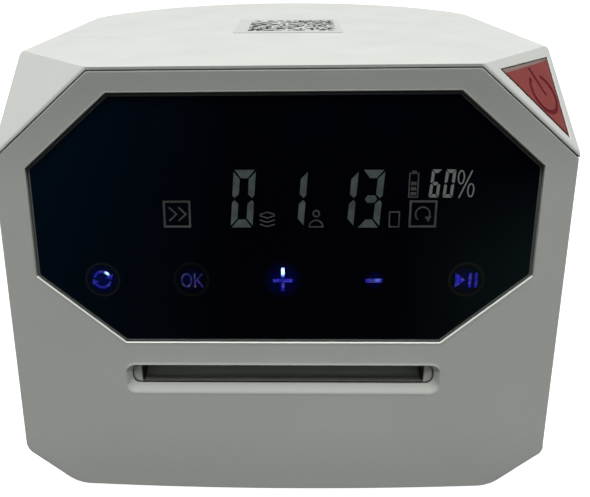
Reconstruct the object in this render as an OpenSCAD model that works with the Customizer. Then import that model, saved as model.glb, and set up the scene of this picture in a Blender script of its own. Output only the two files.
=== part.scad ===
// Card dispensing machine for a card table or a shop counter.
// A housing with a leaning touch front turns on a small round base. Cards lie in
// a bay that opens at the back, and leave one by one through the slot in front.
// Frame: millimetres, +Z up, front towards -Y, origin on the turning axis at the
// surface that the feet stand on.

/* [Housing] */
// Width of the housing across its two flat sides
body_w = 170; // [168:1:174]
// Height of the housing above its underside
body_h = 129.5; // [128:0.5:131]
// Distance from the turning axis to the lower front edge
front_y = 105.6; // [105:0.2:107]
// How far the front leans back, in degrees
lean = 15; // [14:0.5:16]
// Radius of the rounded back
rear_r = 90.6; // [90:0.2:92]
// Wall thickness of the shell
wall = 2.5; // [2:0.1:2.8]
// Thickness of the front cover
front_wall = 3; // [2.8:0.1:3.2]
// Height of the housing's underside above the table
base_h = 9; // [9:0.1:9.4]

/* [Corner facets] */
// Half width of the top front edge between the two upper facets
top_half = 55.7; // [54.5:0.1:57]
// Height up the front at which the upper facets meet the sides
top_v = 109.4; // [108.6:0.1:110]
// Length of the upper facets along the top, front to back
top_run = 28.8; // [28:0.2:30]
// Half width of the lower front edge between the two lower facets
low_half = 68.2; // [68:0.2:71]
// Height up the front at which the lower facets meet the sides
low_v = 13.1; // [12.5:0.1:16]
// Length of the lower facets along the underside, front to back
low_run = 18; // [16:0.5:20]

/* [Front cover] */
// Width of the rim that the shell shows round the upper edge of the cover
rim = 0.85; // [0.8:0.05:1]
// Width of the groove between rim and cover
seam = 0.35; // [0.3:0.05:0.5]
// Depth of the cover's side returns
return_d = 14; // [12:1:16]
// Depth at which the glass lies below the cover's face
glass_sink = 0.5; // [0.3:0.1:0.6]
// Thickness of the glass
glass_t = 1.5; // [1.2:0.1:1.5]

/* [Card path] */
// Width of the slot that the cards leave by
slot_w = 95.2; // [94:0.2:96]
// Height of the card bed's upper face above the table
bed_z = 46.6; // [46.4:0.1:46.8]
// Inside width between the two side plates
bay_w = 96; // [95:0.5:96]
// Inside height of the card bay
bay_h = 71.4; // [68:0.2:71.4]
// Radius of the driven tyres
tyre_r = 8; // [7.8:0.1:8]
// Radius of the driven shafts
shaft_r = 3; // [2.5:0.1:3]
// Radius of the pinch tyres
pinch_r = 6; // [5.5:0.1:6]
// Distance of the feed shaft in front of the turning axis
feed_y = 2; // [1.6:0.1:2.4]
// Distance of the eject shaft in front of the turning axis
eject_y = 60; // [59.5:0.1:60.5]

/* [Drive] */
// Teeth of the fixed gear on the base
base_teeth = 56; // [56]
// Teeth of the turning pinion
turn_teeth = 14; // [14]
// Module of the turning gears
turn_mod = 1.2; // [1.2]
// Teeth of the gears on the card shafts
shaft_teeth = 30; // [30]
// Teeth of the motor pinions
motor_teeth = 15; // [15]
// Module of the card gears
card_mod = 0.8; // [0.8]
// Radius of the motor that turns the housing
motor_r = 12; // [10:0.5:12]
// Radius of the two motors that drive the card shafts
card_motor_r = 9.5; // [8:0.5:9.5]

/* [Base] */
// Radius of the round base
base_r = 62; // [61:0.5:64]
// Radius of the centre spindle
spindle_r = 4; // [3.5:0.1:4]
// Radius on which the feet stand
foot_ring = 48; // [46:0.5:50]

/* [Power button] */
// Depth of the button's face below its facet
button_sink = 0.6; // [0.4:0.1:0.8]
// Gap round the button
button_gap = 0.35; // [0.3:0.05:0.4]

/* [Hidden] */

$fn = 72;
top_z = base_h + body_h;
face_len = body_h / cos(lean);
bay_top = bed_z + bay_h;
roller_z = bed_z + 0.4 - tyre_r;
pinch_z = bed_z + 0.8 + pinch_r;
turn_cd = (base_teeth + turn_teeth) * turn_mod / 2;
card_cd = (shaft_teeth + motor_teeth) * card_mod / 2;
seat_r = rear_r - 4.6;          // radius that the bed, roof and bezel share
arc_y = front_y - rear_r;       // centre of the rounded back
plate_x = bay_w / 2;            // inner face of the side plates
plate_t = 2.5;

// ---------- small helpers ----------
function unit(v) = v / norm(v);
function inset(p, t) = [for (i = [0:len(p) - 1])
  let (a = p[(i + len(p) - 1) % len(p)], b = p[i], c = p[(i + 1) % len(p)],
       d1 = unit(b - a), d2 = unit(c - b), n1 = [-d1[1], d1[0]], n2 = [-d2[1], d2[0]])
  b + t * (n1 + n2) / (1 + n1 * n2)];
// a point on the leaning front: u across, v up the face, w outwards
function uvw(u, v, w) = [u, -front_y + v * sin(lean) - w * cos(lean), base_h + v * cos(lean) + w * sin(lean)];
function pv(v, w) = [uvw(0, v, w)[1], uvw(0, v, w)[2]];

module on_face() translate([0, -front_y, base_h]) rotate([90 - lean, 0, 0]) children();
// children drawn in Y-Z and extruded along +X from x
module on_yz(x) translate([x, 0, 0]) rotate([90, 0, 90]) children();
module box(a, b) translate(a) cube(b - a);
module both() { children(); mirror([1, 0, 0]) children(); }
module rbox(x0, x1, y0, y1, r, h) {
  translate([x0 + r, y0, 0]) cube([x1 - x0 - 2 * r, y1 - y0, h]);
  translate([x0, y0 + r, 0]) cube([x1 - x0, y1 - y0 - 2 * r, h]);
  for (x = [x0 + r, x1 - r], y = [y0 + r, y1 - r]) translate([x, y, 0]) cylinder(r = r, h = h);
}
module ring(ro, ri, h) difference() { cylinder(r = ro, h = h); translate([0, 0, -1]) cylinder(r = ri, h = h + 2); }
module rod_x(y, z, r, x0, x1) on_yz(x0) translate([y, z, 0]) cylinder(r = r, h = x1 - x0);
module stroke(p, q, w) {
  d = q - p;
  translate(p) rotate(atan2(d[1], d[0])) translate([-w / 2, -w / 2]) square([norm(d) + w, w]);
}
// part of a flat ring from angle a0 to a1, in steps no wider than 12 degrees
module arc2(r, w, a0, a1) {
  n = ceil(abs(a1 - a0) / 12);
  polygon(concat(
    [for (i = [0:n]) (r + w / 2) * [cos(a0 + (a1 - a0) * i / n), sin(a0 + (a1 - a0) * i / n)]],
    [for (i = [n:-1:0]) (r - w / 2) * [cos(a0 + (a1 - a0) * i / n), sin(a0 + (a1 - a0) * i / n)]]));
}

// a flat oval ring: outer radii rx, ry and band width w
module oval2(rx, ry, w) difference() {
  polygon([for (i = [0:23]) [rx * cos(i * 15), ry * sin(i * 15)]]);
  polygon([for (i = [0:23]) [(rx - w) * cos(i * 15), (ry - w) * sin(i * 15)]]);
}

// ---------- gears ----------
function inv(a) = tan(a) * 180 / PI - a;
function gear_pts(n, m, slack) =
  let (rp = n * m / 2, rb = rp * cos(20), ra = rp + 0.8 * m, rr = rp - 1.1 * m, r0 = max(rb, rr + 0.01),
       ha = 90 / n - slack / 2 / rp * 180 / PI, rs = [r0, (r0 + ra) / 2, ra],
       th = [for (r = rs) ha + inv(20) - inv(acos(min(1, rb / r)))])
  [for (k = [0:n - 1], j = [0:7])
    let (a = k * 360 / n,
         r = j == 0 || j == 7 ? rr : j < 4 ? rs[j - 1] : rs[6 - j],
         t = j == 0 ? -th[0] : j == 7 ? th[0] : j < 4 ? -th[j - 1] : th[6 - j])
    [r * cos(a + t), r * sin(a + t)]];
// turn of gear 2, seen from gear 1 in direction dir, at which the two are in mesh
function mesh_turn(n1, n2, dir) = dir + 180 + dir * n1 / n2 + 180 / n2;
module gear(n, m, slack, h, bore) difference() {
  linear_extrude(h) polygon(gear_pts(n, m, slack));
  translate([0, 0, -1]) cylinder(r = bore, h = h + 2);
}

// ---------- outer form ----------
pA = uvw(top_half, face_len, 0);
pB = uvw(body_w / 2, top_v, 0);
pC = [body_w / 2, pA[1] + top_run, top_z];
nA = unit(cross(pB - pA, pC - pA));
fe1 = unit(pC - pA);
fe2 = cross(nA, fe1);
pD = uvw(low_half, 0, 0);
pE = uvw(body_w / 2, low_v, 0);
pF = [body_w / 2, pD[1] + low_run, base_h];
nD = unit(cross(pF - pD, pE - pD));

module on_plane(p, n, e) {
  f = cross(n, e);
  multmatrix([[e[0], f[0], n[0], p[0]], [e[1], f[1], n[1], p[1]], [e[2], f[2], n[2], p[2]], [0, 0, 0, 1]]) children();
}
module on_facet() on_plane(pA, nA, fe1) children();
module envelope(o, of, zb, zt) difference() {
  intersection() {
    box([-body_w / 2 + o, -front_y - 5, zb], [body_w / 2 - o, front_y + 5, zt]);
    union() {
      translate([0, arc_y, zb - 1]) cylinder(r = rear_r - o, h = zt - zb + 2, $fn = 180);
      box([-body_w, -front_y - 6, zb - 1], [body_w, arc_y + 25, zt + 1]);
    }
  }
  on_face() translate([-150, -60, -of]) cube([300, 260, 100]);
  both() on_facet() translate([-100, -120, -o]) cube([240, 200, 100]);
  both() on_plane(pD, nD, unit(pF - pD)) translate([-100, -120, -o]) cube([240, 200, 100]);
}
// front outline whose top and upper corners lie t inside the housing's edges
chd = unit([body_w / 2 - top_half, top_v - face_len]);
function top_line(t) = inset([
  [-top_half - 70 * chd[0], -30], [top_half + 70 * chd[0], -30], [top_half + 70 * chd[0], face_len + 70 * chd[1]],
  [top_half, face_len], [-top_half, face_len], [-top_half - 70 * chd[0], face_len + 70 * chd[1]]], t);
module face_block(t, w0, w1) on_face() translate([0, 0, w0]) linear_extrude(w1 - w0) polygon(top_line(t));
module return_zone(d, v) on_face() translate([-120, -20, -d]) cube([240, 20 + v, d + 2]);
return_v = top_v - 2;

// ---------- glass outline ----------
glass_out = [[-49.2, 51.2], [49.2, 51.2], [75.4, 72.9], [75.4, 105.9], [50.3, 127], [-50.3, 127], [-75.4, 105.9], [-75.4, 72.9]];
gw = -glass_sink;               // depth of the glass's face
module glass_block(t, w0, w1) on_face() translate([0, 0, w0]) linear_extrude(w1 - w0) polygon(inset(glass_out, t));

// ---------- power button outline, in the facet's own plane ----------
button_tri = [[6.4, -3.3], [16.9, -28.9], [35.3, -4.1]];
module button_block(t, w0, w1) on_facet() translate([0, 0, w0]) linear_extrude(w1 - w0) polygon(inset(button_tri, t));
post_at = [[4.6, -1.9], [37.9, -1.9], [17.75, -30.95]];

// ---------- charge port ----------
port_y = 8;
port_z = 26;

// ---------- screw places ----------
shell_boss = [[77, -45], [77, 28]];
cover_boss = [40, -95.5];

// ================= base =================
module base_plate() color("dimgray") difference() {
  union() {
    translate([0, 0, 2]) cylinder(r = base_r, h = 2);
    translate([0, 0, 2]) ring(base_r, base_r - 2.5, 5.6);
    translate([0, 0, 3]) cylinder(r = 10, h = 5);
  }
  for (a = [45:90:315]) rotate(a) translate([foot_ring, 0, 1]) cylinder(r = 8.1, h = 1.6);
  for (a = [0:90:270]) rotate(a) {
    translate([30, 0, 1]) cylinder(r = 1.5, h = 4);
    translate([30, 0, 1]) cylinder(r = 2.9, h = 2);
  }
  translate([0, 0, 2.6]) cylinder(r = spindle_r, h = 8);
}
module rubber_feet() color("black") for (a = [45:90:315]) rotate(a) translate([foot_ring, 0, 0]) {
  cylinder(r = 8, h = 2.6);
}
module base_gear() color("ivory") translate([0, 0, 4]) difference() {
  gear(base_teeth, turn_mod, 0.2, 4, 26);
  for (a = [0:90:270]) rotate(a) translate([30, 0, -1]) cylinder(r = 1.5, h = 4);
}
module glide_ring() color("white") translate([0, 0, 4]) ring(57, 54, 4.7);
module centre_spindle() color("silver") translate([0, 0, 2.6]) cylinder(r = spindle_r, h = 21.4);
module spindle_nut() color("silver") translate([0, 0, 18.5]) difference() {
  union() { cylinder(r = 7.5, h = 1); cylinder(r = 6.5, h = 4.5, $fn = 6); }
  translate([0, 0, -1]) cylinder(r = spindle_r, h = 8);
}
module base_screws() color("silver") for (a = [0:90:270]) rotate(a) translate([30, 0, 2]) {
  cylinder(r = 2.9, h = 1);
  cylinder(r = 1.5, h = 4.8);
}

// ================= housing =================
module main_shell() color("whitesmoke") difference() {
  union() {
    difference() {
      envelope(0, 0, base_h, top_z);
      envelope(wall, front_wall, base_h - 1, top_z - wall);
      face_block(rim, -front_wall - 0.5, 3);
      return_zone(return_d, return_v);
    }
    // screw columns on the sides
    both() for (p = shell_boss) {
      translate([p[0], p[1], base_h + 2.6]) cylinder(r = 4.5, h = 22);
      box([p[0], p[1] - 4.5, base_h + 2.6], [body_w / 2 - 1, p[1] + 4.5, base_h + 24.6]);
    }
    // posts that carry the switch board
    on_facet() for (p = post_at) translate([p[0], p[1], -8]) cylinder(r = 1, h = 6.5);
  }
  both() for (p = shell_boss) translate([p[0], p[1], base_h - 1]) cylinder(r = 1.5, h = 16);
  button_block(-button_gap, -12, 5);
  // mouth of the card bay
  box([-plate_x - 3, arc_y, bed_z - 4.6], [plate_x + 3, 130, bay_top + 3]);
  rod_x(port_y, port_z, 4.1, body_w / 2 - 6, body_w / 2 + 2);
}

module front_cover() color("gainsboro") difference() {
  union() {
    intersection() { envelope(0, 0, base_h, top_z); union() { face_block(rim + seam, -front_wall, 1); face_block(rim + 0.05, -front_wall, -1.3); } }
    intersection() {
      difference() { envelope(0, 0, base_h, top_z); envelope(wall, front_wall, base_h - 1, top_z - wall); }
      return_zone(return_d - 0.4, return_v - 0.4);
    }
    // columns for the two front tray screws
    both() intersection() {
      envelope(0.5, 0.5, base_h + 2.6, base_h + 18);
      union() {
        translate([cover_boss[0], cover_boss[1], base_h]) cylinder(r = 4, h = 18);
        box([cover_boss[0] - 1.5, -front_y, base_h], [cover_boss[0] + 1.5, cover_boss[1], base_h + 18]);
      }
    }
    // posts that carry the touch board
    on_face() both() for (v = [80, 98]) translate([74.4, v, -8.6]) cylinder(r = 2, h = 6.5);
  }
  both() translate([cover_boss[0], cover_boss[1], base_h - 1]) cylinder(r = 1.5, h = 14);
  glass_block(0, gw - glass_t, 3);
  glass_block(4, -20, 3);
  on_face() translate([0, 0, -8]) rbox(-49.75, 49.75, 34, 44.6, 3, 14);
}

module glass_panel() color("black") glass_block(0.25, gw - glass_t, gw);

// one seven-segment figure: w wide, h high, bars a and uprights b, leaning by s
function seg_bar(x0, x1, y, t, cut, up) = up ?
  [[x0 + cut, y - t], [x1 - cut, y - t], [x1, y], [x0, y]] : [[x0, y], [x1, y], [x1 - cut, y + t], [x0 + cut, y + t]];
module seg7(u, v, w, h, a, b, s, on) translate([u, v]) {
  m = h / 2;
  g = b * 0.16;
  shapes = [
    [[g, h], [w - g, h], [w - b - g * 1.2, h - a], [b + g * 1.2, h - a]],
    [[w, h - g * 2], [w, m + a * 0.45], [w - b * 0.35, m + g], [w - b, m + a * 0.6], [w - b, h - a - g]],
    [[w, m - a * 0.45], [w, g * 2], [w - b, a + g], [w - b, m - a * 0.6], [w - b * 0.35, m - g]],
    [[g, 0], [w - g, 0], [w - b - g * 1.2, a], [b + g * 1.2, a]],
    [[0, m - a * 0.45], [0, g * 2], [b, a + g], [b, m - a * 0.6], [b * 0.35, m - g]],
    [[0, h - g * 2], [0, m + a * 0.45], [b * 0.35, m + g], [b, m + a * 0.6], [b, h - a - g]],
    [[b * 0.6 + g, m], [b + g, m + a * 0.45], [w - b - g, m + a * 0.45], [w - b * 0.6 - g, m], [w - b - g, m - a * 0.45], [b + g, m - a * 0.45]]];
  for (i = on) polygon([for (p = shapes[i]) [p[0] + s * p[1], p[1]]]);
}
module figures() {
  seg7(-15.45, 88, 6.5, 17.1, 2.4, 1.9, 0.07, [0, 1, 2, 3, 4, 5]);
  seg7(-0.25, 87.95, 6.5, 17.1, 2.4, 1.9, 0.07, [1, 2]);
  seg7(14.5, 87.9, 6.5, 17.1, 2.4, 1.9, 0.07, [1, 2]);
  seg7(22.15, 87.85, 6.5, 17.1, 2.4, 1.9, 0.07, [0, 1, 2, 3, 6]);
  seg7(42.75, 96.8, 2.9, 8.2, 1, 0.85, 0.08, [0, 2, 3, 4, 5, 6]);
  seg7(46.8, 96.75, 2.9, 8.2, 1, 0.85, 0.08, [0, 1, 2, 3, 4, 5]);
  // per cent sign
  stroke([51.7, 96.9], [54.9, 104.5], 0.4);
  for (c = [[51.9, 102.7], [54.9, 98.9]]) translate(c) oval2(1.05, 2.1, 0.4);
}
module frame2(x0, y0, x1, y1, w) difference() {
  translate([x0, y0]) square([x1 - x0, y1 - y0]);
  translate([x0 + w, y0 + w]) square([x1 - x0 - 2 * w, y1 - y0 - 2 * w]);
}
module pictograms() {
  // first to deal: two chevrons in a frame
  frame2(-35.5, 88, -27.3, 96.1, 0.6);
  for (x = [-33.6, -30.8]) { stroke([x, 94], [x + 2, 92.1], 0.45); stroke([x, 90.2], [x + 2, 92], 0.45); }
  // direction of dealing: a turning arrow in a frame
  frame2(37.4, 87.85, 45.5, 95.95, 0.6);
  translate([41.4, 91.85]) { arc2(2.1, 0.45, -40, 230); translate([2.1 * cos(-40), 2.1 * sin(-40)]) polygon([[-1, 0.5], [1, 0.7], [0.1, -1]]); }
  // a stack of cards, a seat and a single card beside the three figures
  for (i = [0:2]) translate([0, i * 1.3]) { stroke([-6.6, 88.9], [-4.5, 88.2], 0.3); stroke([-4.5, 88.2], [-2.4, 88.9], 0.3); }
  stroke([-6.6, 91.9], [-4.5, 92.6], 0.3); stroke([-4.5, 92.6], [-2.4, 91.9], 0.3);
  translate([10, 92.1]) oval2(1.1, 1.1, 0.4);
  translate([10, 88.1]) arc2(2, 0.4, 0, 180);
  stroke([8, 88.1], [12, 88.1], 0.35);
  frame2(31.5, 87.9, 34.7, 92.7, 0.35);
  // charge state: an upright cell
  frame2(36.8, 96.75, 39.7, 104.05, 0.35);
  translate([37.6, 104.05]) square([1.3, 0.6]);
  for (i = [0:2]) translate([37.45, 97.45 + i * 1.5]) square([1.6, 0.95]);
}
module symbols() {
  // change over
  translate([-55.25, 71.75]) for (t = [0, 180]) rotate(t) {
    arc2(2.5, 0.75, 25, 165);
    translate(2.5 * [cos(25), sin(25)]) rotate(25) polygon([[-1.1, 0.1], [1.1, 0.1], [0, -1.4]]);
  }
  // OK
  translate([-29.35, 71.5]) oval2(1.7, 2.25, 0.5);
  translate([-27.05, 69.25]) square([0.55, 4.5]);
  stroke([-26.3, 71.45], [-24.65, 73.45], 0.5);
  stroke([-26.05, 71.65], [-24.55, 69.55], 0.5);
  // plus and minus
  translate([-2.85, 70.9]) square([6, 1]);
  translate([-0.35, 68.1]) square([1, 2.6]);
  translate([-0.35, 72.1]) square([1, 3.4]);
  translate([25.35, 70.75]) square([5.1, 1.2]);
  // play and pause
  polygon([[52.4, 69.15], [52.4, 73.85], [55.5, 71.5]]);
  translate([56.5, 69.25]) square([0.8, 4.5]);
  translate([58.3, 69.25]) square([0.8, 4.5]);
}
module display_digits() color("darkslategray") on_face() translate([0, 0, gw]) linear_extrude(0.12) figures();
module display_pictograms() color("gray") on_face() translate([0, 0, gw]) linear_extrude(0.12) pictograms();
module key_symbols() color("blue") on_face() translate([0, 0, gw]) linear_extrude(0.12) symbols();

module display_module() color("darkgray") on_face() translate([0, 0, -8.6]) box([-42, 84, 0], [60, 108.5, 6.5]);
module touch_board() color("darkgreen") on_face() translate([0, 0, -10.2]) difference() {
  union() {
    box([-66, 60, 0], [66, 112, 1.6]);
    box([-77.4, 76, 0], [77.4, 102, 1.6]);
  }
}
key_at = [-55.25, -27.85, 0.1, 27.95, 55.8];
module touch_springs() color("silver") on_face() for (u = key_at) translate([u, 71.7, -8.6]) {
  for (i = [0:2]) translate([0, 0, i * 2.2]) ring(5.3, 4.6, 0.8);
  for (a = [0:90:270]) rotate(a) translate([4.6, -0.4, 0]) cube([0.6, 0.8, 6.5]);
}

module exit_throat() color("white") difference() {
  union() {
    // lower lip, slanting up and inwards, and the floor behind it
    on_yz(-49.65) linear_extrude(99.3) polygon([pv(34.1, -0.3), pv(37.9, -2.4), [-88, bed_z - 0.3], [-82, bed_z - 0.3], [-82, bed_z - 3], pv(34.1, -3)]);
    // upper lip and the ceiling behind it
    on_yz(-49.65) linear_extrude(99.3) polygon([pv(44.5, -0.3), pv(44.5, -3), [-82, bed_z + 7], [-82, bed_z + 4.4], pv(43.9, -0.9)]);
    // cheeks that narrow the way inwards
    both() intersection() {
      linear_extrude(100) polygon([[slot_w / 2, -110], [49.65, -110], [49.65, -82], [slot_w / 2 - 1.6, -82], [slot_w / 2 - 1.4, -86]]);
      on_yz(40) linear_extrude(12) polygon([pv(34.1, -0.3), pv(44.5, -0.3), [-82, bed_z + 7], [-82, bed_z - 3]]);
    }
    // flange behind the cover
    difference() {
      on_face() translate([0, 0, -4.6]) rbox(-53, 53, 31.4, 47.4, 3, 1.6);
      on_face() translate([0, 0, -6]) box([-49.55, 34.2, 0], [49.55, 44.4, 4]);
    }
  }
  on_face() difference() { translate([-60, 20, -3]) cube([120, 40, 3]); translate([0, 0, -4]) rbox(-49.65, 49.65, 34.1, 44.5, 2.9, 6); }
  both() box([plate_x, -86, 30], [60, -70, 62]);
}

module bottom_tray() color("white") difference() {
  envelope(wall + 0.15, front_wall + 0.15, base_h, base_h + 2.5);
  translate([0, 0, base_h - 1]) cylinder(r = 7, h = 5);
  translate([0, turn_cd, base_h - 1]) cylinder(r = 4, h = 5);
  both() for (p = concat(shell_boss, [cover_boss])) translate([p[0], p[1], base_h - 1]) {
    cylinder(r = 1.5, h = 5);
    cylinder(r = 3, h = 2.2);
  }
}
module tray_screws() color("silver") both() for (p = concat(shell_boss, [cover_boss])) translate([p[0], p[1], base_h + 0.3]) {
  cylinder(r = 3, h = 0.9);
  cylinder(r = 1.5, h = 11);
}
module spindle_bush() color("goldenrod") translate([0, 0, base_h - 0.2]) difference() {
  union() { cylinder(r = 7, h = 9.2); translate([0, 0, 2.7]) cylinder(r = 8.2, h = 1.5); }
  translate([0, 0, -1]) cylinder(r = spindle_r + 0.05, h = 14);
}

// ---------- card bay ----------
module arc_clip(r, z0, z1) intersection() {
  children();
  union() {
    translate([0, arc_y, z0]) cylinder(r = r, h = z1 - z0, $fn = 180);
    box([-100, -120, z0], [100, arc_y, z1]);
  }
}
tyre_x = [-28, 28];
module card_bed() color("lightgray") difference() {
  arc_clip(seat_r, bed_z - 2, bed_z) box([-plate_x, -81.9, bed_z - 2], [plate_x, 120, bed_z]);
  for (x = [-28, 0, 28]) box([x - 7, -feed_y - 7, bed_z - 5], [x + 7, -feed_y + 7, bed_z + 1]);
  for (x = tyre_x) box([x - 8, -eject_y - 7, bed_z - 5], [x + 8, -eject_y + 7, bed_z + 1]);
  translate([0, -34, bed_z - 3]) cylinder(r = 2.5, h = 5);
}
feed_m = [-feed_y + card_cd * cos(45), roller_z - card_cd * sin(45)];
eject_m = [-eject_y - card_cd * cos(45), roller_z - card_cd * sin(45)];
module side_plate(motors) difference() {
  on_yz(plate_x) linear_extrude(plate_t) polygon([[-81, base_h + 2.6], [84.4, base_h + 2.6], [84.4, bay_top], [-38, bay_top],
    [-38, 66], [-44, 60.2], [-78, 60.2], [-81, 57]]);
  for (y = [-feed_y, -eject_y]) rod_x(y, roller_z, 4.6, 40, 60);
  rod_x(-eject_y, pinch_z, 4.2, 40, 60);
  if (motors) for (p = [feed_m, eject_m]) rod_x(p[0], p[1], 3.2, 40, 60);
}
module side_plate_right() color("lightgray") side_plate(true);
module side_plate_left() color("lightgray") mirror([1, 0, 0]) side_plate(false);
module bay_roof() color("lightgray") difference() {
  arc_clip(seat_r, bay_top, bay_top + 2) box([-plate_x - plate_t, -38, bay_top], [plate_x + plate_t, 120, bay_top + 2]);
  translate([0, -34, bay_top - 1]) cylinder(r = 2.5, h = 5);
}
module gate_wall() color("lightgray") difference() {
  box([-plate_x, -24, bed_z + 1], [plate_x, -22, bay_top]);
  box([-8, -26, bed_z - 1], [8, -20, bay_top - 3]);
}
module separator_pads() color("dimgray") both() box([16, -26.5, bed_z + 0.9], [28, -24, bed_z + 11]);
module rear_bezel() color("dimgray") difference() {
  arc_clip(rear_r - 0.05, bed_z - 4.6, bay_top + 3) box([-plate_x - 2.9, arc_y, bed_z - 4.5], [plate_x + 2.9, 130, bay_top + 2.9]);
  translate([0, arc_y, 0]) cylinder(r = seat_r, h = 200, $fn = 180);
  box([-plate_x + 0.8, 0, bed_z], [plate_x - 0.8, 130, bay_top]);
}
module guide_rod() color("silver") translate([0, -34, bed_z - 2]) cylinder(r = 2.5, h = bay_h + 4);
module bush(y, z, ro, ri) on_yz(plate_x - 1.2) translate([y, z, 0]) difference() {
  union() { cylinder(r = ro, h = 1.2 + plate_t); cylinder(r = ro + 0.8, h = 1.2); }
  translate([0, 0, -1]) cylinder(r = ri, h = 8);
}
module shaft_bushes() color("goldenrod") both() {
  for (y = [-feed_y, -eject_y]) bush(y, roller_z, 4.6, shaft_r + 0.05);
  bush(-eject_y, pinch_z, 4.2, 2.55);
}
module sensor_bar() color("lightgray") box([-plate_x, -75, 56.4], [plate_x, -69, 59.4]);
module card_sensors() color("black") both() box([26, -75, 52], [34, -69, 56.4]);

// ---------- motors ----------
module card_motor(p) difference() {
  union() {
    rod_x(p[0], p[1], card_motor_r, plate_x - 27, plate_x);
    rod_x(p[0], p[1], 3.2, plate_x - 1, plate_x + plate_t);
    rod_x(p[0], p[1], 4, plate_x - 29, plate_x - 26);
  }
  rod_x(p[0], p[1], 1.05, plate_x - 12, plate_x + 6);
}
module feed_motor() color("silver") card_motor(feed_m);
module eject_motor() color("silver") card_motor(eject_m);
module turn_motor() color("silver") translate([0, turn_cd, base_h + 2.5]) difference() {
  union() { cylinder(r = motor_r, h = 25); cylinder(r = 4, h = 27); box([-15, -4, 0], [15, 4, 2]); }
  translate([0, 0, -1]) cylinder(r = 2.05, h = 11);
}

// ---------- power and control ----------
cell_y = [-36.5, -18];
module battery_cells() color("royalblue") for (y = cell_y) rod_x(y, base_h + 13.4, 9.1, -32.5, 32.5);
module battery_cradle() color("black") difference() {
  box([-34.5, -47.2, base_h + 2.5], [34.5, -8.4, base_h + 11]);
  for (y = cell_y) rod_x(y, base_h + 13.4, 9.3, -33, 33);
  box([-20, -60, base_h + 5.5], [20, 0, base_h + 20]);
}
module main_board() color("darkgreen") box([-63.6, -40, 20], [-62, 45, 98]);
module board_parts() color("black") {
  box([-65.4, -10, 60], [-63.6, 4, 74]);
  box([-65, 16, 64], [-63.6, 26, 72]);
  box([-69.6, -36, 28], [-63.6, -28, 46]);
  box([-69.6, 20, 22.5], [-63.6, 40, 29]);
  box([-69.6, -20, 88], [-63.6, 10, 94.5]);
  for (y = [-20, -6, 8]) translate([-63.6, y, 40]) rotate([0, -90, 0]) cylinder(r = 4, h = 9);
}
module board_standoffs() color("silver") for (y = [-34, 39], z = [26, 92]) rod_x(y, z, 2.5, -62, -plate_x - plate_t);
module ribbon_cable() color("lightgray") on_yz(-67) linear_extrude(0.8)
  polygon([pv(85.2, -10.2), pv(90.8, -10.2), [-20, pv(90.8, -10.2)[1]], [-20, pv(85.2, -10.2)[1]]]);
module charge_port() color("black") difference() {
  union() {
    box([body_w / 2 - 14, port_y - 4.6, port_z - 5.5], [body_w / 2 - wall, port_y + 4.6, port_z + 4.6]);
    rod_x(port_y, port_z, 4, body_w / 2 - 3, body_w / 2 - 0.4);
  }
  difference() {
    rod_x(port_y, port_z, 2.8, body_w / 2 - 10, body_w / 2 + 2);
    rod_x(port_y, port_z, 1, body_w / 2 - 11, body_w / 2 - 1.5);
  }
}
button_mid = [20.4, -10.6];
module switch_board() color("darkgreen") on_facet() {
  translate([0, 0, -9.2]) linear_extrude(1.2) polygon([[2.6, -0.6], [16.6, -33.2], [39.6, -0.6]]);
  translate([button_mid[0], button_mid[1], -8]) { box([-3, -3, 0], [3, 3, 2]); cylinder(r = 1.6, h = 2.8); }
}
module blank_label() color("white") translate([3.2, 10.9, top_z]) rotate(-1.8) box([-20.8, -20.2, 0], [20.8, 20.2, 0.15]);

// ================= moving pieces =================
module turn_motor_shaft() color("silver") translate([0, turn_cd, 4.6]) cylinder(r = 2, h = 16.4);
module turn_pinion() color("ivory") translate([0, turn_cd, 4.6]) rotate(mesh_turn(base_teeth, turn_teeth, 90))
  gear(turn_teeth, turn_mod, 0.2, 3.8, 2);

module tyre(x, w, y, z, ro, ri) on_yz(x - w / 2) translate([y, z, 0]) ring(ro, ri, w);
module card_gear(y, z) on_yz(plate_x + 3.2) translate([y, z, 0]) gear(shaft_teeth, card_mod, 0.14, 5, shaft_r);
module card_pinion(p, dir) on_yz(plate_x + 3.2) translate([p[0], p[1], 0]) rotate(mesh_turn(shaft_teeth, motor_teeth, dir))
  gear(motor_teeth, card_mod, 0.14, 5, 1);

module feed_shaft() color("silver") rod_x(-feed_y, roller_z, shaft_r, -plate_x - 4, plate_x + 9.4);
module feed_tyres() color("dimgray") for (x = [-28, 0, 28]) tyre(x, 12, -feed_y, roller_z, tyre_r, shaft_r);
module feed_gear() color("ivory") card_gear(-feed_y, roller_z);
module feed_motor_shaft() color("silver") rod_x(feed_m[0], feed_m[1], 1, plate_x - 11.5, plate_x + 9);
module feed_pinion() color("goldenrod") card_pinion(feed_m, -45);

module eject_shaft() color("silver") rod_x(-eject_y, roller_z, shaft_r, -plate_x - 4, plate_x + 9.4);
module eject_tyres() color("dimgray") for (x = tyre_x) tyre(x, 14, -eject_y, roller_z, tyre_r, shaft_r);
module eject_gear() color("ivory") card_gear(-eject_y, roller_z);
module eject_motor_shaft() color("silver") rod_x(eject_m[0], eject_m[1], 1, plate_x - 11.5, plate_x + 9);
module eject_pinion() color("goldenrod") card_pinion(eject_m, -135);

module pinch_shaft() color("silver") rod_x(-eject_y, pinch_z, 2.5, -plate_x - 2.7, plate_x + 2.7);
module pinch_tyres() color("dimgray") for (x = tyre_x) tyre(x, 14, -eject_y, pinch_z, pinch_r, 2.5);

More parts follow.
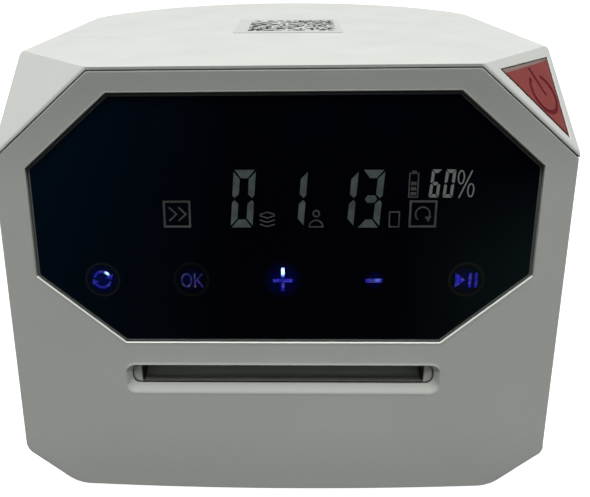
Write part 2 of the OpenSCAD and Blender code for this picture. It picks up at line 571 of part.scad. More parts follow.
module press_block() color("slategray") difference() {
  union() {
    box([-43, -19, bed_z + 1], [43, 43, bed_z + 11]);
    box([-6, -34, bed_z + 4], [6, -18, bed_z + 10]);
    translate([0, -34, bed_z + 4]) cylinder(r = 7, h = 10);
    box([-16, 42, bed_z + 5], [16, 52, bed_z + 8]);
  }
  translate([0, -34, bed_z]) cylinder(r = 5, h = 20);
  box([-36, -12, bed_z + 8], [36, 36, bed_z + 12]);
}
module slide_bush() color("goldenrod") translate([0, -34, bed_z + 4]) ring(5, 2.55, 10);

module power_button() color("firebrick") difference() {
  union() {
    button_block(0, -4, -button_sink);
    on_facet() translate([button_mid[0], button_mid[1], -4.1]) cylinder(r = 1.6, h = 1);
  }
  // engraved on and off symbol
  on_facet() translate([0, 0, -button_sink - 0.4]) linear_extrude(2) {
    translate([19.9, -14.2]) arc2(5.5, 0.9, 111, 411);
    stroke([20.6, -14.4], [21.4, -5.8], 0.9);
  }
}

base_plate();
rubber_feet();
base_gear();
glide_ring();
centre_spindle();
spindle_nut();
base_screws();
main_shell();
front_cover();
glass_panel();
display_digits();
display_pictograms();
key_symbols();
display_module();
touch_board();
touch_springs();
exit_throat();
bottom_tray();
tray_screws();
spindle_bush();
card_bed();
side_plate_left();
side_plate_right();
bay_roof();
gate_wall();
separator_pads();
rear_bezel();
guide_rod();
shaft_bushes();
sensor_bar();
card_sensors();
turn_motor();
feed_motor();
eject_motor();
battery_cells();
battery_cradle();
main_board();
board_parts();
board_standoffs();
ribbon_cable();
charge_port();
switch_board();
blank_label();
turn_motor_shaft();
turn_pinion();
feed_shaft();
feed_tyres();
feed_gear();
feed_motor_shaft();
feed_pinion();
eject_shaft();
eject_tyres();
eject_gear();
eject_motor_shaft();
eject_pinion();
pinch_shaft();
pinch_tyres();
press_block();
slide_bush();
power_button();
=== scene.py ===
import math

import bmesh
import bpy
from mathutils import Matrix, Vector

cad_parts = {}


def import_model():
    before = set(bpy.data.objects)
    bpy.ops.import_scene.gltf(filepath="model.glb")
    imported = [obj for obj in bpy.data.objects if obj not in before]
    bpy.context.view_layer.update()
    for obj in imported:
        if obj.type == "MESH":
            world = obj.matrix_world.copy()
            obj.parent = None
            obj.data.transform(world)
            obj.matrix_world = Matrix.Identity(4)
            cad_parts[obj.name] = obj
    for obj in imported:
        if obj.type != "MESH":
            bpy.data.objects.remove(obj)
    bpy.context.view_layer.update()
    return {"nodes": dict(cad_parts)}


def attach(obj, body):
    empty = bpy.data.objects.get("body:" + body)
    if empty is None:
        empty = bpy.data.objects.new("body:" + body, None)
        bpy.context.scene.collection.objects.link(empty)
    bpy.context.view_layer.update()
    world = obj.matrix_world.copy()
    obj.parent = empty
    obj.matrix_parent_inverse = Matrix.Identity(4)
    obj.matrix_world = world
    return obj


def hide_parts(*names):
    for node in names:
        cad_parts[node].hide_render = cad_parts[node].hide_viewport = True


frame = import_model()
NODES = frame["nodes"]
SCENE = bpy.context.scene
MM = 0.001

# ---------------------------------------------------------------- frame facts
FRONT_Y = 105.6
BASE_H = 9.0
TOP_Z = 138.5
LEAN = math.radians(15)
SL, CL = math.sin(LEAN), math.cos(LEAN)
HALF_W = 85.0
REAR_R = 90.6
ARC_Y = 15.0
FACE_LEN = 129.5 / CL
N_FACE = Vector((0, -CL, SL))
GLASS = [(-49.2, 51.2), (49.2, 51.2), (75.4, 72.9), (75.4, 105.9), (50.3, 127.0), (-50.3, 127.0), (-75.4, 105.9), (-75.4, 72.9)]
KEYS = (-55.25, -27.85, 0.1, 27.95, 55.8)
KEY_V = 71.7


def uvw(u, v, w=0.0):
    """Point on the leaning front, in millimetres: u across, v up the face, w outwards."""
    return Vector((u, -FRONT_Y + v * SL - w * CL, BASE_H + v * CL + w * SL))


P_A = uvw(55.7, FACE_LEN)
P_B = uvw(85, 109.4)
P_C = Vector((85, P_A.y + 28.8, TOP_Z))
N_A = (P_B - P_A).cross(P_C - P_A).normalized()
F_E1 = (P_C - P_A).normalized()
F_E2 = N_A.cross(F_E1)
P_D = uvw(68.2, 0)
P_E = uvw(85, 13.1)
P_F = Vector((85, P_D.y + 18, BASE_H))
N_D = (P_F - P_D).cross(P_E - P_D).normalized()


def mirrored(p):
    return Vector((-p.x, p.y, p.z))


# ---------------------------------------------------------------- camera
cam_data = bpy.data.cameras.new("camera")
cam_data.sensor_fit = "HORIZONTAL"
cam_data.sensor_width = 36.0
cam_data.lens = 560.0 / 590.0 * 36.0
cam_data.clip_start = 0.01
cam_data.clip_end = 200.0
cam_data.shift_x = 31.0 / 590.0  # the photograph is cropped off centre
camera = bpy.data.objects.new("camera", cam_data)
SCENE.collection.objects.link(camera)
c_right = Vector((0.9997789, 0.0175132, -0.0116396))
c_fwd = Vector((-0.0209558, 0.8757439, -0.4823209)).normalized()
c_up = c_right.cross(c_fwd).normalized()
c_right = c_fwd.cross(c_up).normalized()
pose = Matrix((c_right, c_up, -c_fwd)).transposed().to_4x4()
pose.translation = Vector((-2.0087, -231.8969, 169.0238)) * MM
camera.matrix_world = pose
SCENE.camera = camera

# ---------------------------------------------------------------- light and floor
SCENE.view_settings.view_transform = "Standard"
SCENE.view_settings.look = "None"
SCENE.view_settings.exposure = 0.0
SCENE.view_settings.gamma = 1.0

sun_data = bpy.data.lights.new("soft_top", "SUN")
sun_data.energy = 4.28
sun_data.angle = math.radians(32)
sun_data.color = (1.0, 1.0, 0.985)
sun = bpy.data.objects.new("soft_top", sun_data)
SCENE.collection.objects.link(sun)
sun_dir = Vector((0.0, 0.04, 1.0)).normalized()
sun.rotation_euler = sun_dir.to_track_quat("Z", "Y").to_euler()

world = bpy.data.worlds.new("studio")
SCENE.world = world
world.use_nodes = True
wn = world.node_tree.nodes
wl = world.node_tree.links
bg = wn["Background"]
w_geo = wn.new("ShaderNodeTexCoord")
w_sep = wn.new("ShaderNodeSeparateXYZ")
w_up = wn.new("ShaderNodeMapRange")
w_up.inputs["From Min"].default_value = -0.35
w_up.inputs["From Max"].default_value = 0.15
w_up.inputs["To Min"].default_value = 0.19
w_up.inputs["To Max"].default_value = 0.03
wl.new(w_geo.outputs["Generated"], w_sep.inputs["Vector"])
wl.new(w_sep.outputs["Z"], w_up.inputs["Value"])
w_back = wn.new("ShaderNodeMapRange")     # lighter low down at the sides and behind
w_back.inputs["From Min"].default_value = -0.25
w_back.inputs["From Max"].default_value = 0.30
w_back.inputs["To Min"].default_value = 1.0
w_back.inputs["To Max"].default_value = 4.0
wl.new(w_sep.outputs["Y"], w_back.inputs["Value"])
w_mul = wn.new("ShaderNodeMath")
w_mul.operation = "MULTIPLY"
wl.new(w_up.outputs["Result"], w_mul.inputs[0])
wl.new(w_back.outputs["Result"], w_mul.inputs[1])
w_low = wn.new("ShaderNodeMapRange")      # no change above the horizon
w_low.inputs["From Min"].default_value = 0.20
w_low.inputs["From Max"].default_value = -0.05
wl.new(w_sep.outputs["Z"], w_low.inputs["Value"])
w_mix = wn.new("ShaderNodeMix")
w_mix.data_type = "FLOAT"
wl.new(w_low.outputs["Result"], w_mix.inputs[0])
wl.new(w_up.outputs["Result"], w_mix.inputs[2])
wl.new(w_mul.outputs[0], w_mix.inputs[3])
wl.new(w_mix.outputs[0], bg.inputs["Strength"])
bg.inputs["Color"].default_value = (0.97, 1.0, 0.98, 1)


# ---------------------------------------------------------------- material tools
class Nodes:
    """Small builder for procedural materials."""

    def __init__(self, name):
        self.mat = bpy.data.materials.new(name)
        self.mat.use_nodes = True
        self.tree = self.mat.node_tree
        self.bsdf = self.tree.nodes["Principled BSDF"]
        self.obj = self.add("ShaderNodeTexCoord").outputs["Object"]

    def add(self, kind, inputs=None, **props):
        n = self.tree.nodes.new(kind)
        for k, v in props.items():
            setattr(n, k, v)
        for k, v in (inputs or {}).items():
            if isinstance(v, bpy.types.NodeSocket):
                self.tree.links.new(v, n.inputs[k])
            else:
                n.inputs[k].default_value = v
        return n

    def link(self, a, b):
        self.tree.links.new(a, b)

    def set(self, **kw):
        for k, v in kw.items():
            self.bsdf.inputs[k.replace("_", " ")].default_value = v

    def math(self, op, a, b=0.0, c=None, clamp=False):
        n = self.tree.nodes.new("ShaderNodeMath")
        n.operation = op
        n.use_clamp = clamp
        for i, v in enumerate((a, b, c)):
            if v is None:
                continue
            if isinstance(v, bpy.types.NodeSocket):
                self.tree.links.new(v, n.inputs[i])
            else:
                n.inputs[i].default_value = v
        return n.outputs[0]

    def vmath(self, op, a, b=(0, 0, 0)):
        n = self.tree.nodes.new("ShaderNodeVectorMath")
        n.operation = op
        for i, v in enumerate((a, b)):
            if isinstance(v, bpy.types.NodeSocket):
                self.tree.links.new(v, n.inputs[i])
            else:
                n.inputs[i].default_value = v
        return n.outputs["Value"] if op in ("DOT_PRODUCT", "DISTANCE", "LENGTH") else n.outputs["Vector"]

    def scaled(self, s):
        return self.add("ShaderNodeMapping", {"Vector": self.obj, "Scale": s}).outputs["Vector"]

    def noise(self, size, detail=2.0, rough=0.5, vector=None, distortion=0.0):
        """Noise whose features are about `size` metres across."""
        return self.add("ShaderNodeTexNoise", {"Vector": vector or self.obj, "Scale": 1.0 / size, "Detail": detail,
                                               "Roughness": rough, "Distortion": distortion}).outputs["Fac"]

    def ramp(self, fac, lo, hi, a=0.0, b=1.0):
        return self.add("ShaderNodeMapRange", {"Value": fac, "From Min": lo, "From Max": hi, "To Min": a, "To Max": b},
                        clamp=True).outputs["Result"]

    def mix(self, fac, a, b, blend="MIX"):
        n = self.tree.nodes.new("ShaderNodeMix")
        n.data_type = "RGBA"
        n.blend_type = blend
        n.clamp_factor = True
        for key, v in (("Factor_Float", fac), ("A_Color", a), ("B_Color", b)):
            s = next(i for i in n.inputs if i.identifier == key)
            if isinstance(v, bpy.types.NodeSocket):
                self.tree.links.new(v, s)
            else:
                s.default_value = v
        return next(o for o in n.outputs if o.identifier == "Result_Color")

    def bump(self, height, distance, strength=1.0):
        n = self.add("ShaderNodeBump", {"Height": height, "Distance": distance, "Strength": strength})
        old = self.bsdf.inputs["Normal"].links
        if old:
            self.tree.links.new(old[0].from_socket, n.inputs["Normal"])
        self.tree.links.new(n.outputs["Normal"], self.bsdf.inputs["Normal"])

    def colour(self, socket):
        self.tree.links.new(socket, self.bsdf.inputs["Base Color"])

    def rough(self, socket):
        self.tree.links.new(socket, self.bsdf.inputs["Roughness"])


def rgb(c, k=1.0):
    return (c[0] * k, c[1] * k, c[2] * k, 1.0)


def plastic(name, c, rough, grain=0.00035, depth=0.000012, spread=0.035, patch=0.035, spec=0.4, dust=0.0):
    """Moulded plastic: a spark-eroded grain, faint cloudy colour and gloss, and a little dust in the grain."""
    m = Nodes(name)
    cloud = m.noise(patch, 3.0, 0.55)
    speck = m.noise(grain * 1.7, 2.0, 0.6)
    base = m.mix(m.ramp(cloud, 0.3, 0.7), rgb(c, 1 - spread), rgb(c, 1 + spread))
    base = m.mix(m.ramp(speck, 0.35, 0.65, 0.0, 0.10), base, rgb(c, 0.8))
    if dust:
        fine = m.noise(0.0011, 4.0, 0.7)
        base = m.mix(m.ramp(fine, 0.66, 0.74, 0.0, dust), base, (0.45, 0.44, 0.42, 1))
    m.colour(base)
    m.rough(m.ramp(m.noise(0.012, 3.0, 0.6), 0.3, 0.7, rough - 0.05, rough + 0.05))
    m.bump(m.noise(grain, 2.0, 0.6), depth)
    m.set(Specular_IOR_Level=spec)
    return m.mat


def rubber(name, c, rough=0.75):
    m = Nodes(name)
    n = m.noise(0.0016, 4.0, 0.65)
    dusty = m.mix(m.ramp(n, 0.35, 0.75), rgb(c, 0.8), rgb(c, 1.6))
    m.colour(m.mix(m.ramp(m.noise(0.009, 3.0), 0.45, 0.75, 0.0, 0.25), dusty, (0.16, 0.155, 0.15, 1)))
    m.rough(m.ramp(n, 0.3, 0.7, rough - 0.08, rough + 0.1))
    m.bump(m.noise(0.0004, 3.0, 0.7), 0.00003)
    m.set(Specular_IOR_Level=0.3)
    return m.mat


def brushed(name, c, rough, stretch=(1, 1, 30), size=0.0016, metal=1.0):
    """Drawn or ground metal with fine lines along one axis and a few darker stains."""
    m = Nodes(name)
    v = m.scaled(stretch)
    lines = m.noise(size, 4.0, 0.6, v)
    stain = m.noise(0.011, 3.0, 0.6)
    base = m.mix(m.ramp(lines, 0.3, 0.7), rgb(c, 0.82), rgb(c, 1.1))
    m.colour(m.mix(m.ramp(stain, 0.55, 0.8, 0.0, 0.35), base, rgb(c, 0.55)))
    m.rough(m.ramp(lines, 0.3, 0.7, rough - 0.07, rough + 0.1))
    m.bump(lines, 0.000012)
    m.set(Metallic=metal)
    return m.mat


M = {}
SHELL = (0.630, 0.648, 0.622)
M["shell_white"] = plastic("shell_white", SHELL, 0.50, spread=0.02, dust=0.10)
M["throat_white"] = plastic("throat_white", (0.625, 0.645, 0.612), 0.45, grain=0.0003, depth=0.000008, spread=0.02)
M["tray_white"] = plastic("tray_white", (0.56, 0.575, 0.55), 0.5, spread=0.03, dust=0.15)
M["bay_grey"] = plastic("bay_grey", (0.150, 0.155, 0.160), 0.46, grain=0.0004, depth=0.00002, spread=0.06, dust=0.06)
M["bezel_grey"] = plastic("bezel_grey", (0.022, 0.022, 0.024), 0.42, grain=0.0004, depth=0.00003, spread=0.08, dust=0.05)
M["base_dark"] = plastic("base_dark", (0.013, 0.013, 0.0145), 0.45, grain=0.0006, depth=0.00004, spread=0.1, dust=0.06)
M["port_black"] = plastic("port_black", (0.01, 0.01, 0.011), 0.3, grain=0.0005, depth=0.00001, spread=0.1)
M["display_frame"] = plastic("display_frame", (0.012, 0.012, 0.013), 0.5, spread=0.1)
M["gear_plastic"] = plastic("gear_plastic", (0.70, 0.66, 0.55), 0.38, grain=0.0007, depth=0.00001, spread=0.05, spec=0.5, dust=0.1)
M["glide_plastic"] = plastic("glide_plastic", (0.74, 0.74, 0.72), 0.33, grain=0.0008, depth=0.00001, spread=0.04)
M["rubber"] = rubber("rubber", (0.012, 0.012, 0.012), 0.72)
M["steel"] = brushed("steel", (0.60, 0.60, 0.59), 0.22, (1, 30, 30), 0.004)
M["spring_steel"] = brushed("spring_steel", (0.66, 0.65, 0.62), 0.25, (1, 1, 20), 0.003)
M["screw_steel"] = brushed("screw_steel", (0.52, 0.52, 0.54), 0.33, (1, 1, 1), 0.0012)
M["motor_can"] = brushed("motor_can", (0.56, 0.56, 0.55), 0.30, (1, 14, 14), 0.006)


def make_bronze():
    m = Nodes("bronze")
    pores = m.noise(0.00035, 3.0, 0.7)
    base = m.mix(m.ramp(pores, 0.35, 0.65), (0.38, 0.22, 0.08, 1), (0.66, 0.45, 0.20, 1))
    m.colour(m.mix(m.ramp(m.noise(0.006, 2.0), 0.5, 0.8, 0, 0.4), base, (0.25, 0.15, 0.07, 1)))
    m.rough(m.ramp(pores, 0.3, 0.7, 0.5, 0.32))
    m.bump(pores, 0.00002)
    m.set(Metallic=1.0)
    return m.mat


def make_tyre():
    m = Nodes("tyre_rubber")
    v = m.scaled((6, 1, 1))
    rib = m.noise(0.0022, 3.0, 0.6, v)
    base = m.mix(m.ramp(rib, 0.35, 0.7), (0.05, 0.05, 0.052, 1), (0.105, 0.105, 0.108, 1))
    m.colour(m.mix(m.ramp(m.noise(0.004, 3.0), 0.55, 0.75, 0, 0.5), base, (0.22, 0.22, 0.21, 1)))
    m.rough(m.ramp(rib, 0.3, 0.7, 0.85, 0.7))
    m.bump(m.noise(0.0005, 3.0, 0.7), 0.00004)
    m.set(Specular_IOR_Level=0.25)
    return m.mat


def make_press():
    m = Nodes("press_grey")
    hammer = m.add("ShaderNodeTexVoronoi", {"Vector": m.obj, "Scale": 620.0}, feature="SMOOTH_F1").outputs["Distance"]
    base = m.mix(m.ramp(hammer, 0.1, 0.6), (0.045, 0.048, 0.055, 1), (0.085, 0.090, 0.10, 1))
    m.colour(m.mix(m.ramp(m.noise(0.014, 3.0), 0.55, 0.8, 0, 0.5), base, (0.13, 0.135, 0.145, 1)))
    m.rough(m.ramp(hammer, 0.1, 0.6, 0.38, 0.5))
    m.bump(hammer, 0.00007)
    m.set(Metallic=0.25, Specular_IOR_Level=0.5)
    return m.mat


def make_pcb(name, side):
    """Solder mask over copper tracks; `side` picks the two axes that the tracks follow."""
    m = Nodes(name)
    sep = m.add("ShaderNodeSeparateXYZ", {"Vector": m.obj})
    comb = m.add("ShaderNodeCombineXYZ")
    a, b = {"yz": ("Y", "Z"), "xz": ("X", "Z")}[side]
    m.link(sep.outputs[a], comb.inputs["X"])
    m.link(sep.outputs[b], comb.inputs["Y"])
    brick = m.add("ShaderNodeTexBrick", {"Vector": comb.outputs["Vector"], "Scale": 1.0, "Mortar Size": 0.00035,
                                         "Brick Width": 0.0115, "Row Height": 0.0021, "Color1": (0, 0, 0, 1),
                                         "Color2": (0, 0, 0, 1), "Mortar": (1, 1, 1, 1)}).outputs["Color"]
    vor = m.add("ShaderNodeTexVoronoi", {"Vector": m.obj, "Scale": 210.0}).outputs["Distance"]
    pad = m.ramp(vor, 0.17, 0.15)
    base = m.mix(m.ramp(m.noise(0.02, 2.0), 0.3, 0.7), (0.006, 0.055, 0.022, 1), (0.010, 0.075, 0.030, 1))
    base = m.mix(m.math("MULTIPLY", brick, 0.55), base, (0.02, 0.16, 0.06, 1))
    base = m.mix(pad, base, (0.50, 0.49, 0.45, 1))
    m.colour(base)
    m.rough(m.ramp(m.noise(0.003, 2.0), 0.3, 0.7, 0.28, 0.4))
    m.bump(brick, 0.00002)
    return m.mat


def make_cell():
    m = Nodes("cell_wrap")
    n = m.noise(0.02, 3.0, 0.6)
    base = m.mix(m.ramp(n, 0.3, 0.7), (0.008, 0.040, 0.16, 1), (0.012, 0.055, 0.21, 1))
    x = m.add("ShaderNodeSeparateXYZ", {"Vector": m.obj}).outputs["X"]
    band = m.ramp(m.math("ABSOLUTE", x), 0.0296, 0.0300)
    m.colour(m.mix(band, base, (0.03, 0.03, 0.032, 1)))
    m.rough(m.ramp(m.noise(0.004, 3.0), 0.3, 0.7, 0.18, 0.32))
    m.bump(m.noise(0.005, 3.0, 0.6, m.scaled((0.3, 1, 1))), 0.00009)
    m.set(Coat_Weight=0.4, Coat_Roughness=0.12)
    return m.mat


def make_ribbon():
    m = Nodes("cable_grey")
    sep = m.add("ShaderNodeSeparateXYZ", {"Vector": m.obj}).outputs["Z"]
    wave = m.math("SINE", m.math("MULTIPLY", sep, 2 * math.pi / 0.0009))
    base = m.mix(m.ramp(wave, -1, 1), (0.15, 0.15, 0.155, 1), (0.34, 0.34, 0.345, 1))
    m.colour(m.mix(m.ramp(m.noise(0.01, 2.0), 0.4, 0.8, 0, 0.3), base, (0.42, 0.41, 0.39, 1)))
    m.rough(m.ramp(m.noise(0.004, 2.0), 0.3, 0.7, 0.42, 0.55))
    m.bump(wave, 0.0001)
    return m.mat


def make_parts():
    m = Nodes("board_components")
    n = m.noise(0.0009, 3.0, 0.6)
    m.colour(m.mix(m.ramp(n, 0.3, 0.7), (0.010, 0.010, 0.011, 1), (0.022, 0.022, 0.024, 1)))
    m.rough(m.ramp(n, 0.3, 0.7, 0.55, 0.4))
    m.bump(m.noise(0.0004, 2.0), 0.00002)
    return m.mat


def make_label():
    """Paper label: plain ground with a field of random squares that encodes nothing."""
    m = Nodes("label_white")
    cell = 0.0011
    local = m.add("ShaderNodeMapping", {"Vector": m.obj, "Location": (-0.0032 * math.cos(math.radians(1.8)) + 0.0109 * math.sin(math.radians(1.8)), -0.0032 * math.sin(math.radians(1.8)) - 0.0109 * math.cos(math.radians(1.8)), 0.0),
                                        "Rotation": (0, 0, math.radians(1.8))}, vector_type="POINT").outputs["Vector"]
    snapped = m.vmath("SNAP", local, (cell, cell, 1.0))
    flat = m.vmath("MULTIPLY", snapped, (1, 1, 0))
    dots = m.add("ShaderNodeTexWhiteNoise", {"Vector": flat}, noise_dimensions="3D").outputs["Value"]
    big = m.vmath("MULTIPLY", m.vmath("SNAP", local, (cell * 2, cell * 2, 1.0)), (1, 1, 0))
    blocks = m.add("ShaderNodeTexWhiteNoise", {"Vector": m.vmath("ADD", big, (3.7, 1.3, 0))}, noise_dimensions="3D").outputs["Value"]
    ink = m.math("GREATER_THAN", m.math("ADD", m.math("MULTIPLY", dots, 0.6), m.math("MULTIPLY", blocks, 0.4)), 0.5)
    sep = m.add("ShaderNodeSeparateXYZ", {"Vector": local})
    inx = m.math("LESS_THAN", m.math("ABSOLUTE", m.math("SUBTRACT", sep.outputs["X"], 0.0016)), 0.0171)
    iny = m.math("LESS_THAN", m.math("ABSOLUTE", sep.outputs["Y"]), 0.0154)
    mask = m.math("MULTIPLY", m.math("MULTIPLY", inx, iny), ink)
    fibre = m.noise(0.0006, 4.0, 0.7)
    paper = m.mix(m.ramp(fibre, 0.3, 0.7), (0.510, 0.525, 0.512, 1), (0.560, 0.575, 0.558, 1))
    m.colour(m.mix(mask, paper, (0.030, 0.031, 0.032, 1)))
    m.rough(m.ramp(fibre, 0.3, 0.7, 0.55, 0.68))
    m.bump(fibre, 0.000008)
    return m.mat


def face_coords(m):
    """u and v on the leaning front, in metres, from the object's own coordinates."""
    u = m.vmath("DOT_PRODUCT", m.obj, (1, 0, 0))
    p = m.vmath("SUBTRACT", m.obj, (0, -FRONT_Y * MM, BASE_H * MM))
    v = m.vmath("DOT_PRODUCT", p, (0, SL, CL))
    return u, v


def make_cover():
    """The cover's plastic: the housing's grain, with painted shade that makes it darker towards its upper and lower
    edges and in the slot's dish.
    """
    m = Nodes("cover_white")
    c = (0.625, 0.645, 0.612)
    u, v = face_coords(m)
    base = m.mix(m.ramp(m.noise(0.035, 3.0, 0.55), 0.3, 0.7), rgb(c, 0.98), rgb(c, 1.02))
    base = m.mix(m.ramp(m.noise(0.0006, 2.0, 0.6), 0.35, 0.65, 0.0, 0.10), base, rgb(c, 0.8))
    base = m.mix(m.ramp(m.noise(0.0011, 4.0, 0.7), 0.66, 0.74, 0.0, 0.10), base, (0.45, 0.44, 0.42, 1))
    # painted shade: darker towards the upper edge of the face, and a little darker at its foot
    shade = m.math("MULTIPLY", m.ramp(v, 0.098, 0.128, 1.0, 0.78), m.ramp(v, 0.006, 0.022, 1.0, 1.10))
    # painted shade: the foot of the slot's dish is a little darker
    foot = m.ramp(m.math("ABSOLUTE", m.math("SUBTRACT", v, 0.0354)), 0.0028, 0.0018)
    painted_dish_shade = m.math("MULTIPLY", foot, m.ramp(m.math("ABSOLUTE", u), 0.0495, 0.0460))
    shade = m.math("MULTIPLY", shade, m.math("SUBTRACT", 1.0, m.math("MULTIPLY", painted_dish_shade, 0.12)))
    m.colour(m.mix(1.0, base, shade, blend="MULTIPLY"))
    m.rough(m.ramp(m.noise(0.012, 3.0, 0.6), 0.3, 0.7, 0.45, 0.55))
    m.bump(m.noise(0.00035, 2.0, 0.6), 0.000012)
    m.set(Specular_IOR_Level=0.4)
    return m.mat


def make_glass():
    """Back-printed glass: almost black, faint smears, a painted bluish sheen across its left, and the touch springs
    just showing through the print.
    """
    m = Nodes("black_glass")
    u, v = face_coords(m)
    ring = None
    for k, level in zip(KEYS, (0.9, 0.45, 0.05, 0.05, 1.0)):
        du = m.math("SUBTRACT", u, k * MM)
        dv = m.math("SUBTRACT", v, KEY_V * MM)
        d = m.math("SQRT", m.math("ADD", m.math("MULTIPLY", du, du), m.math("MULTIPLY", dv, dv)))
        band = m.math("MULTIPLY", m.ramp(m.math("ABSOLUTE", m.math("SUBTRACT", d, 0.0051)), 0.0006, 0.0001), level)
        disc = m.math("MULTIPLY", m.ramp(d, 0.0052, 0.0044), 0.06 * level)
        one = m.math("MAXIMUM", band, disc)
        ring = one if ring is None else m.math("MAXIMUM", ring, one)
    smear = m.noise(0.03, 4.0, 0.6, m.scaled((1, 1, 0.4)))
    # painted sheen: a bluish tint across the left of the glass, carried into the ink colour below. The upper right of
    # the glass is a little greener.
    painted_sheen_left = m.ramp(u, -0.015, -0.072, 0.0, 1.0)
    right = m.math("MULTIPLY", m.ramp(u, 0.035, 0.078), m.ramp(v, 0.105, 0.075))
    ink = m.mix(painted_sheen_left, (0.0012, 0.0016, 0.0040, 1), (0.0012, 0.0080, 0.0170, 1))
    ink = m.mix(right, ink, (0.0090, 0.0180, 0.0190, 1))
    ink = m.mix(m.ramp(smear, 0.45, 0.8, 0.0, 0.35), ink, (0.002, 0.003, 0.008, 1))
    ink = m.mix(ring, ink, (0.0190, 0.0200, 0.0170, 1))
    m.colour(ink)
    # a little of the blue back light leaks through the print round each symbol
    leak = None
    for k, dv0, reach, level in zip(KEYS, (0.0, 0.0, 0.0, -0.2, 0.0), (5.6, 4.2, 6.5, 3.4, 4.6), (1.0, 0.4, 1.0, 0.5, 0.7)):
        du = m.math("SUBTRACT", u, k * MM)
        dv = m.math("SUBTRACT", v, (KEY_V + dv0) * MM)
        d = m.math("SQRT", m.math("ADD", m.math("MULTIPLY", du, du), m.math("MULTIPLY", dv, dv)))
        one = m.math("MULTIPLY", m.math("POWER", m.ramp(d, reach * MM, 0.0015), 1.6), level)
        leak = one if leak is None else m.math("MAXIMUM", leak, one)
    m.link(m.math("MULTIPLY", leak, m.ramp(m.noise(0.002, 2.0, 0.5), 0.3, 0.7, 0.5, 1.0)), m.bsdf.inputs["Emission Strength"])
    m.set(Emission_Color=(0.0004, 0.0010, 0.045, 1))
    m.rough(m.ramp(smear, 0.35, 0.75, 0.05, 0.13))
    m.set(IOR=1.10)
    return m.mat


def make_glass_edge():
    m = Nodes("glass_ground_edge")
    n = m.noise(0.0012, 3.0, 0.6)
    m.colour(m.mix(m.ramp(n, 0.3, 0.7), (0.115, 0.124, 0.120, 1), (0.150, 0.160, 0.155, 1)))
    m.rough(m.ramp(n, 0.3, 0.7, 0.35, 0.5))
    m.bump(m.noise(0.0005, 2.0), 0.00001)
    return m.mat


def make_figures(name, c):
    m = Nodes(name)
    n = m.noise(0.006, 3.0, 0.6)
    u, v = face_coords(m)
    dim = m.mix(m.ramp(n, 0.3, 0.7), rgb(c, 0.6), rgb(c, 1.3))
    # the charge reading at the upper right is the brightest
    charge = m.math("MULTIPLY", m.ramp(u, 0.0400, 0.0410), m.ramp(v, 0.0960, 0.0970))
    m.colour(m.mix(m.math("MULTIPLY", charge, 0.8), dim, (0.330, 0.335, 0.330, 1)))
    m.rough(m.ramp(n, 0.3, 0.7, 0.42, 0.55))
    m.bump(m.noise(0.0006, 2.0), 0.000005)
    m.set(Specular_IOR_Level=0.2)
    return m.mat


def make_symbols():
    """Blue back light behind the five touch symbols; brightness and hue change from key to key and along each stroke."""
    m = Nodes("lit_symbols")
    u, v = face_coords(m)
    patch = m.noise(0.0016, 2.0, 0.6)
    power = m.ramp(patch, 0.35, 0.68, 0.5, 1.2)
    for k, level in zip(KEYS, (0.30, 0.13, 0.46, 0.32, 0.40)):
        near = m.ramp(m.math("ABSOLUTE", m.math("SUBTRACT", u, k * MM)), 0.0105, 0.0095)
        power = m.math("MULTIPLY", power, m.math("ADD", 1.0, m.math("MULTIPLY", near, level - 1.0)))

    def spot(su, sv, r0, r1):
        du = m.math("SUBTRACT", u, su * MM)
        dv = m.math("SUBTRACT", v, sv * MM)
        d = m.math("SQRT", m.math("ADD", m.math("MULTIPLY", du, du), m.math("MULTIPLY", dv, dv)))
        return m.ramp(d, r1 * MM, r0 * MM)

    hot = m.math("MAXIMUM", spot(-53.75, 73.75, 0.25, 1.15), spot(0.1, 74.3, 0.7, 1.75))
    warm = m.math("MULTIPLY", spot(28.9, 71.6, 0.3, 1.3), 0.24)
    hot = m.math("MAXIMUM", hot, warm)
    fleck = m.ramp(m.noise(0.0011, 2.0, 0.6), 0.50, 0.64, 0.0, 0.75)
    blue = m.mix(fleck, (0.020, 0.016, 0.80, 1), (0.20, 0.19, 0.95, 1))
    colour = m.mix(hot, blue, (0.42, 0.72, 1.0, 1))
    ok = m.ramp(m.math("ABSOLUTE", m.math("SUBTRACT", u, -0.0284)), 0.0105, 0.0095)
    colour = m.mix(ok, colour, m.mix(fleck, (0.07, 0.05, 0.80, 1), (0.70, 0.60, 1.0, 1)))
    m.link(colour, m.bsdf.inputs["Emission Color"])
    m.link(m.math("ADD", power, m.math("MULTIPLY", hot, 1.9)), m.bsdf.inputs["Emission Strength"])
    m.colour(m.mix(hot, (0.004, 0.005, 0.05, 1), (0.01, 0.02, 0.08, 1)))
    m.rough(m.ramp(patch, 0.3, 0.7, 0.4, 0.5))
    return m.mat


BUTTON_TRI = [(6.4, -3.3), (16.9, -28.9), (35.3, -4.1)]


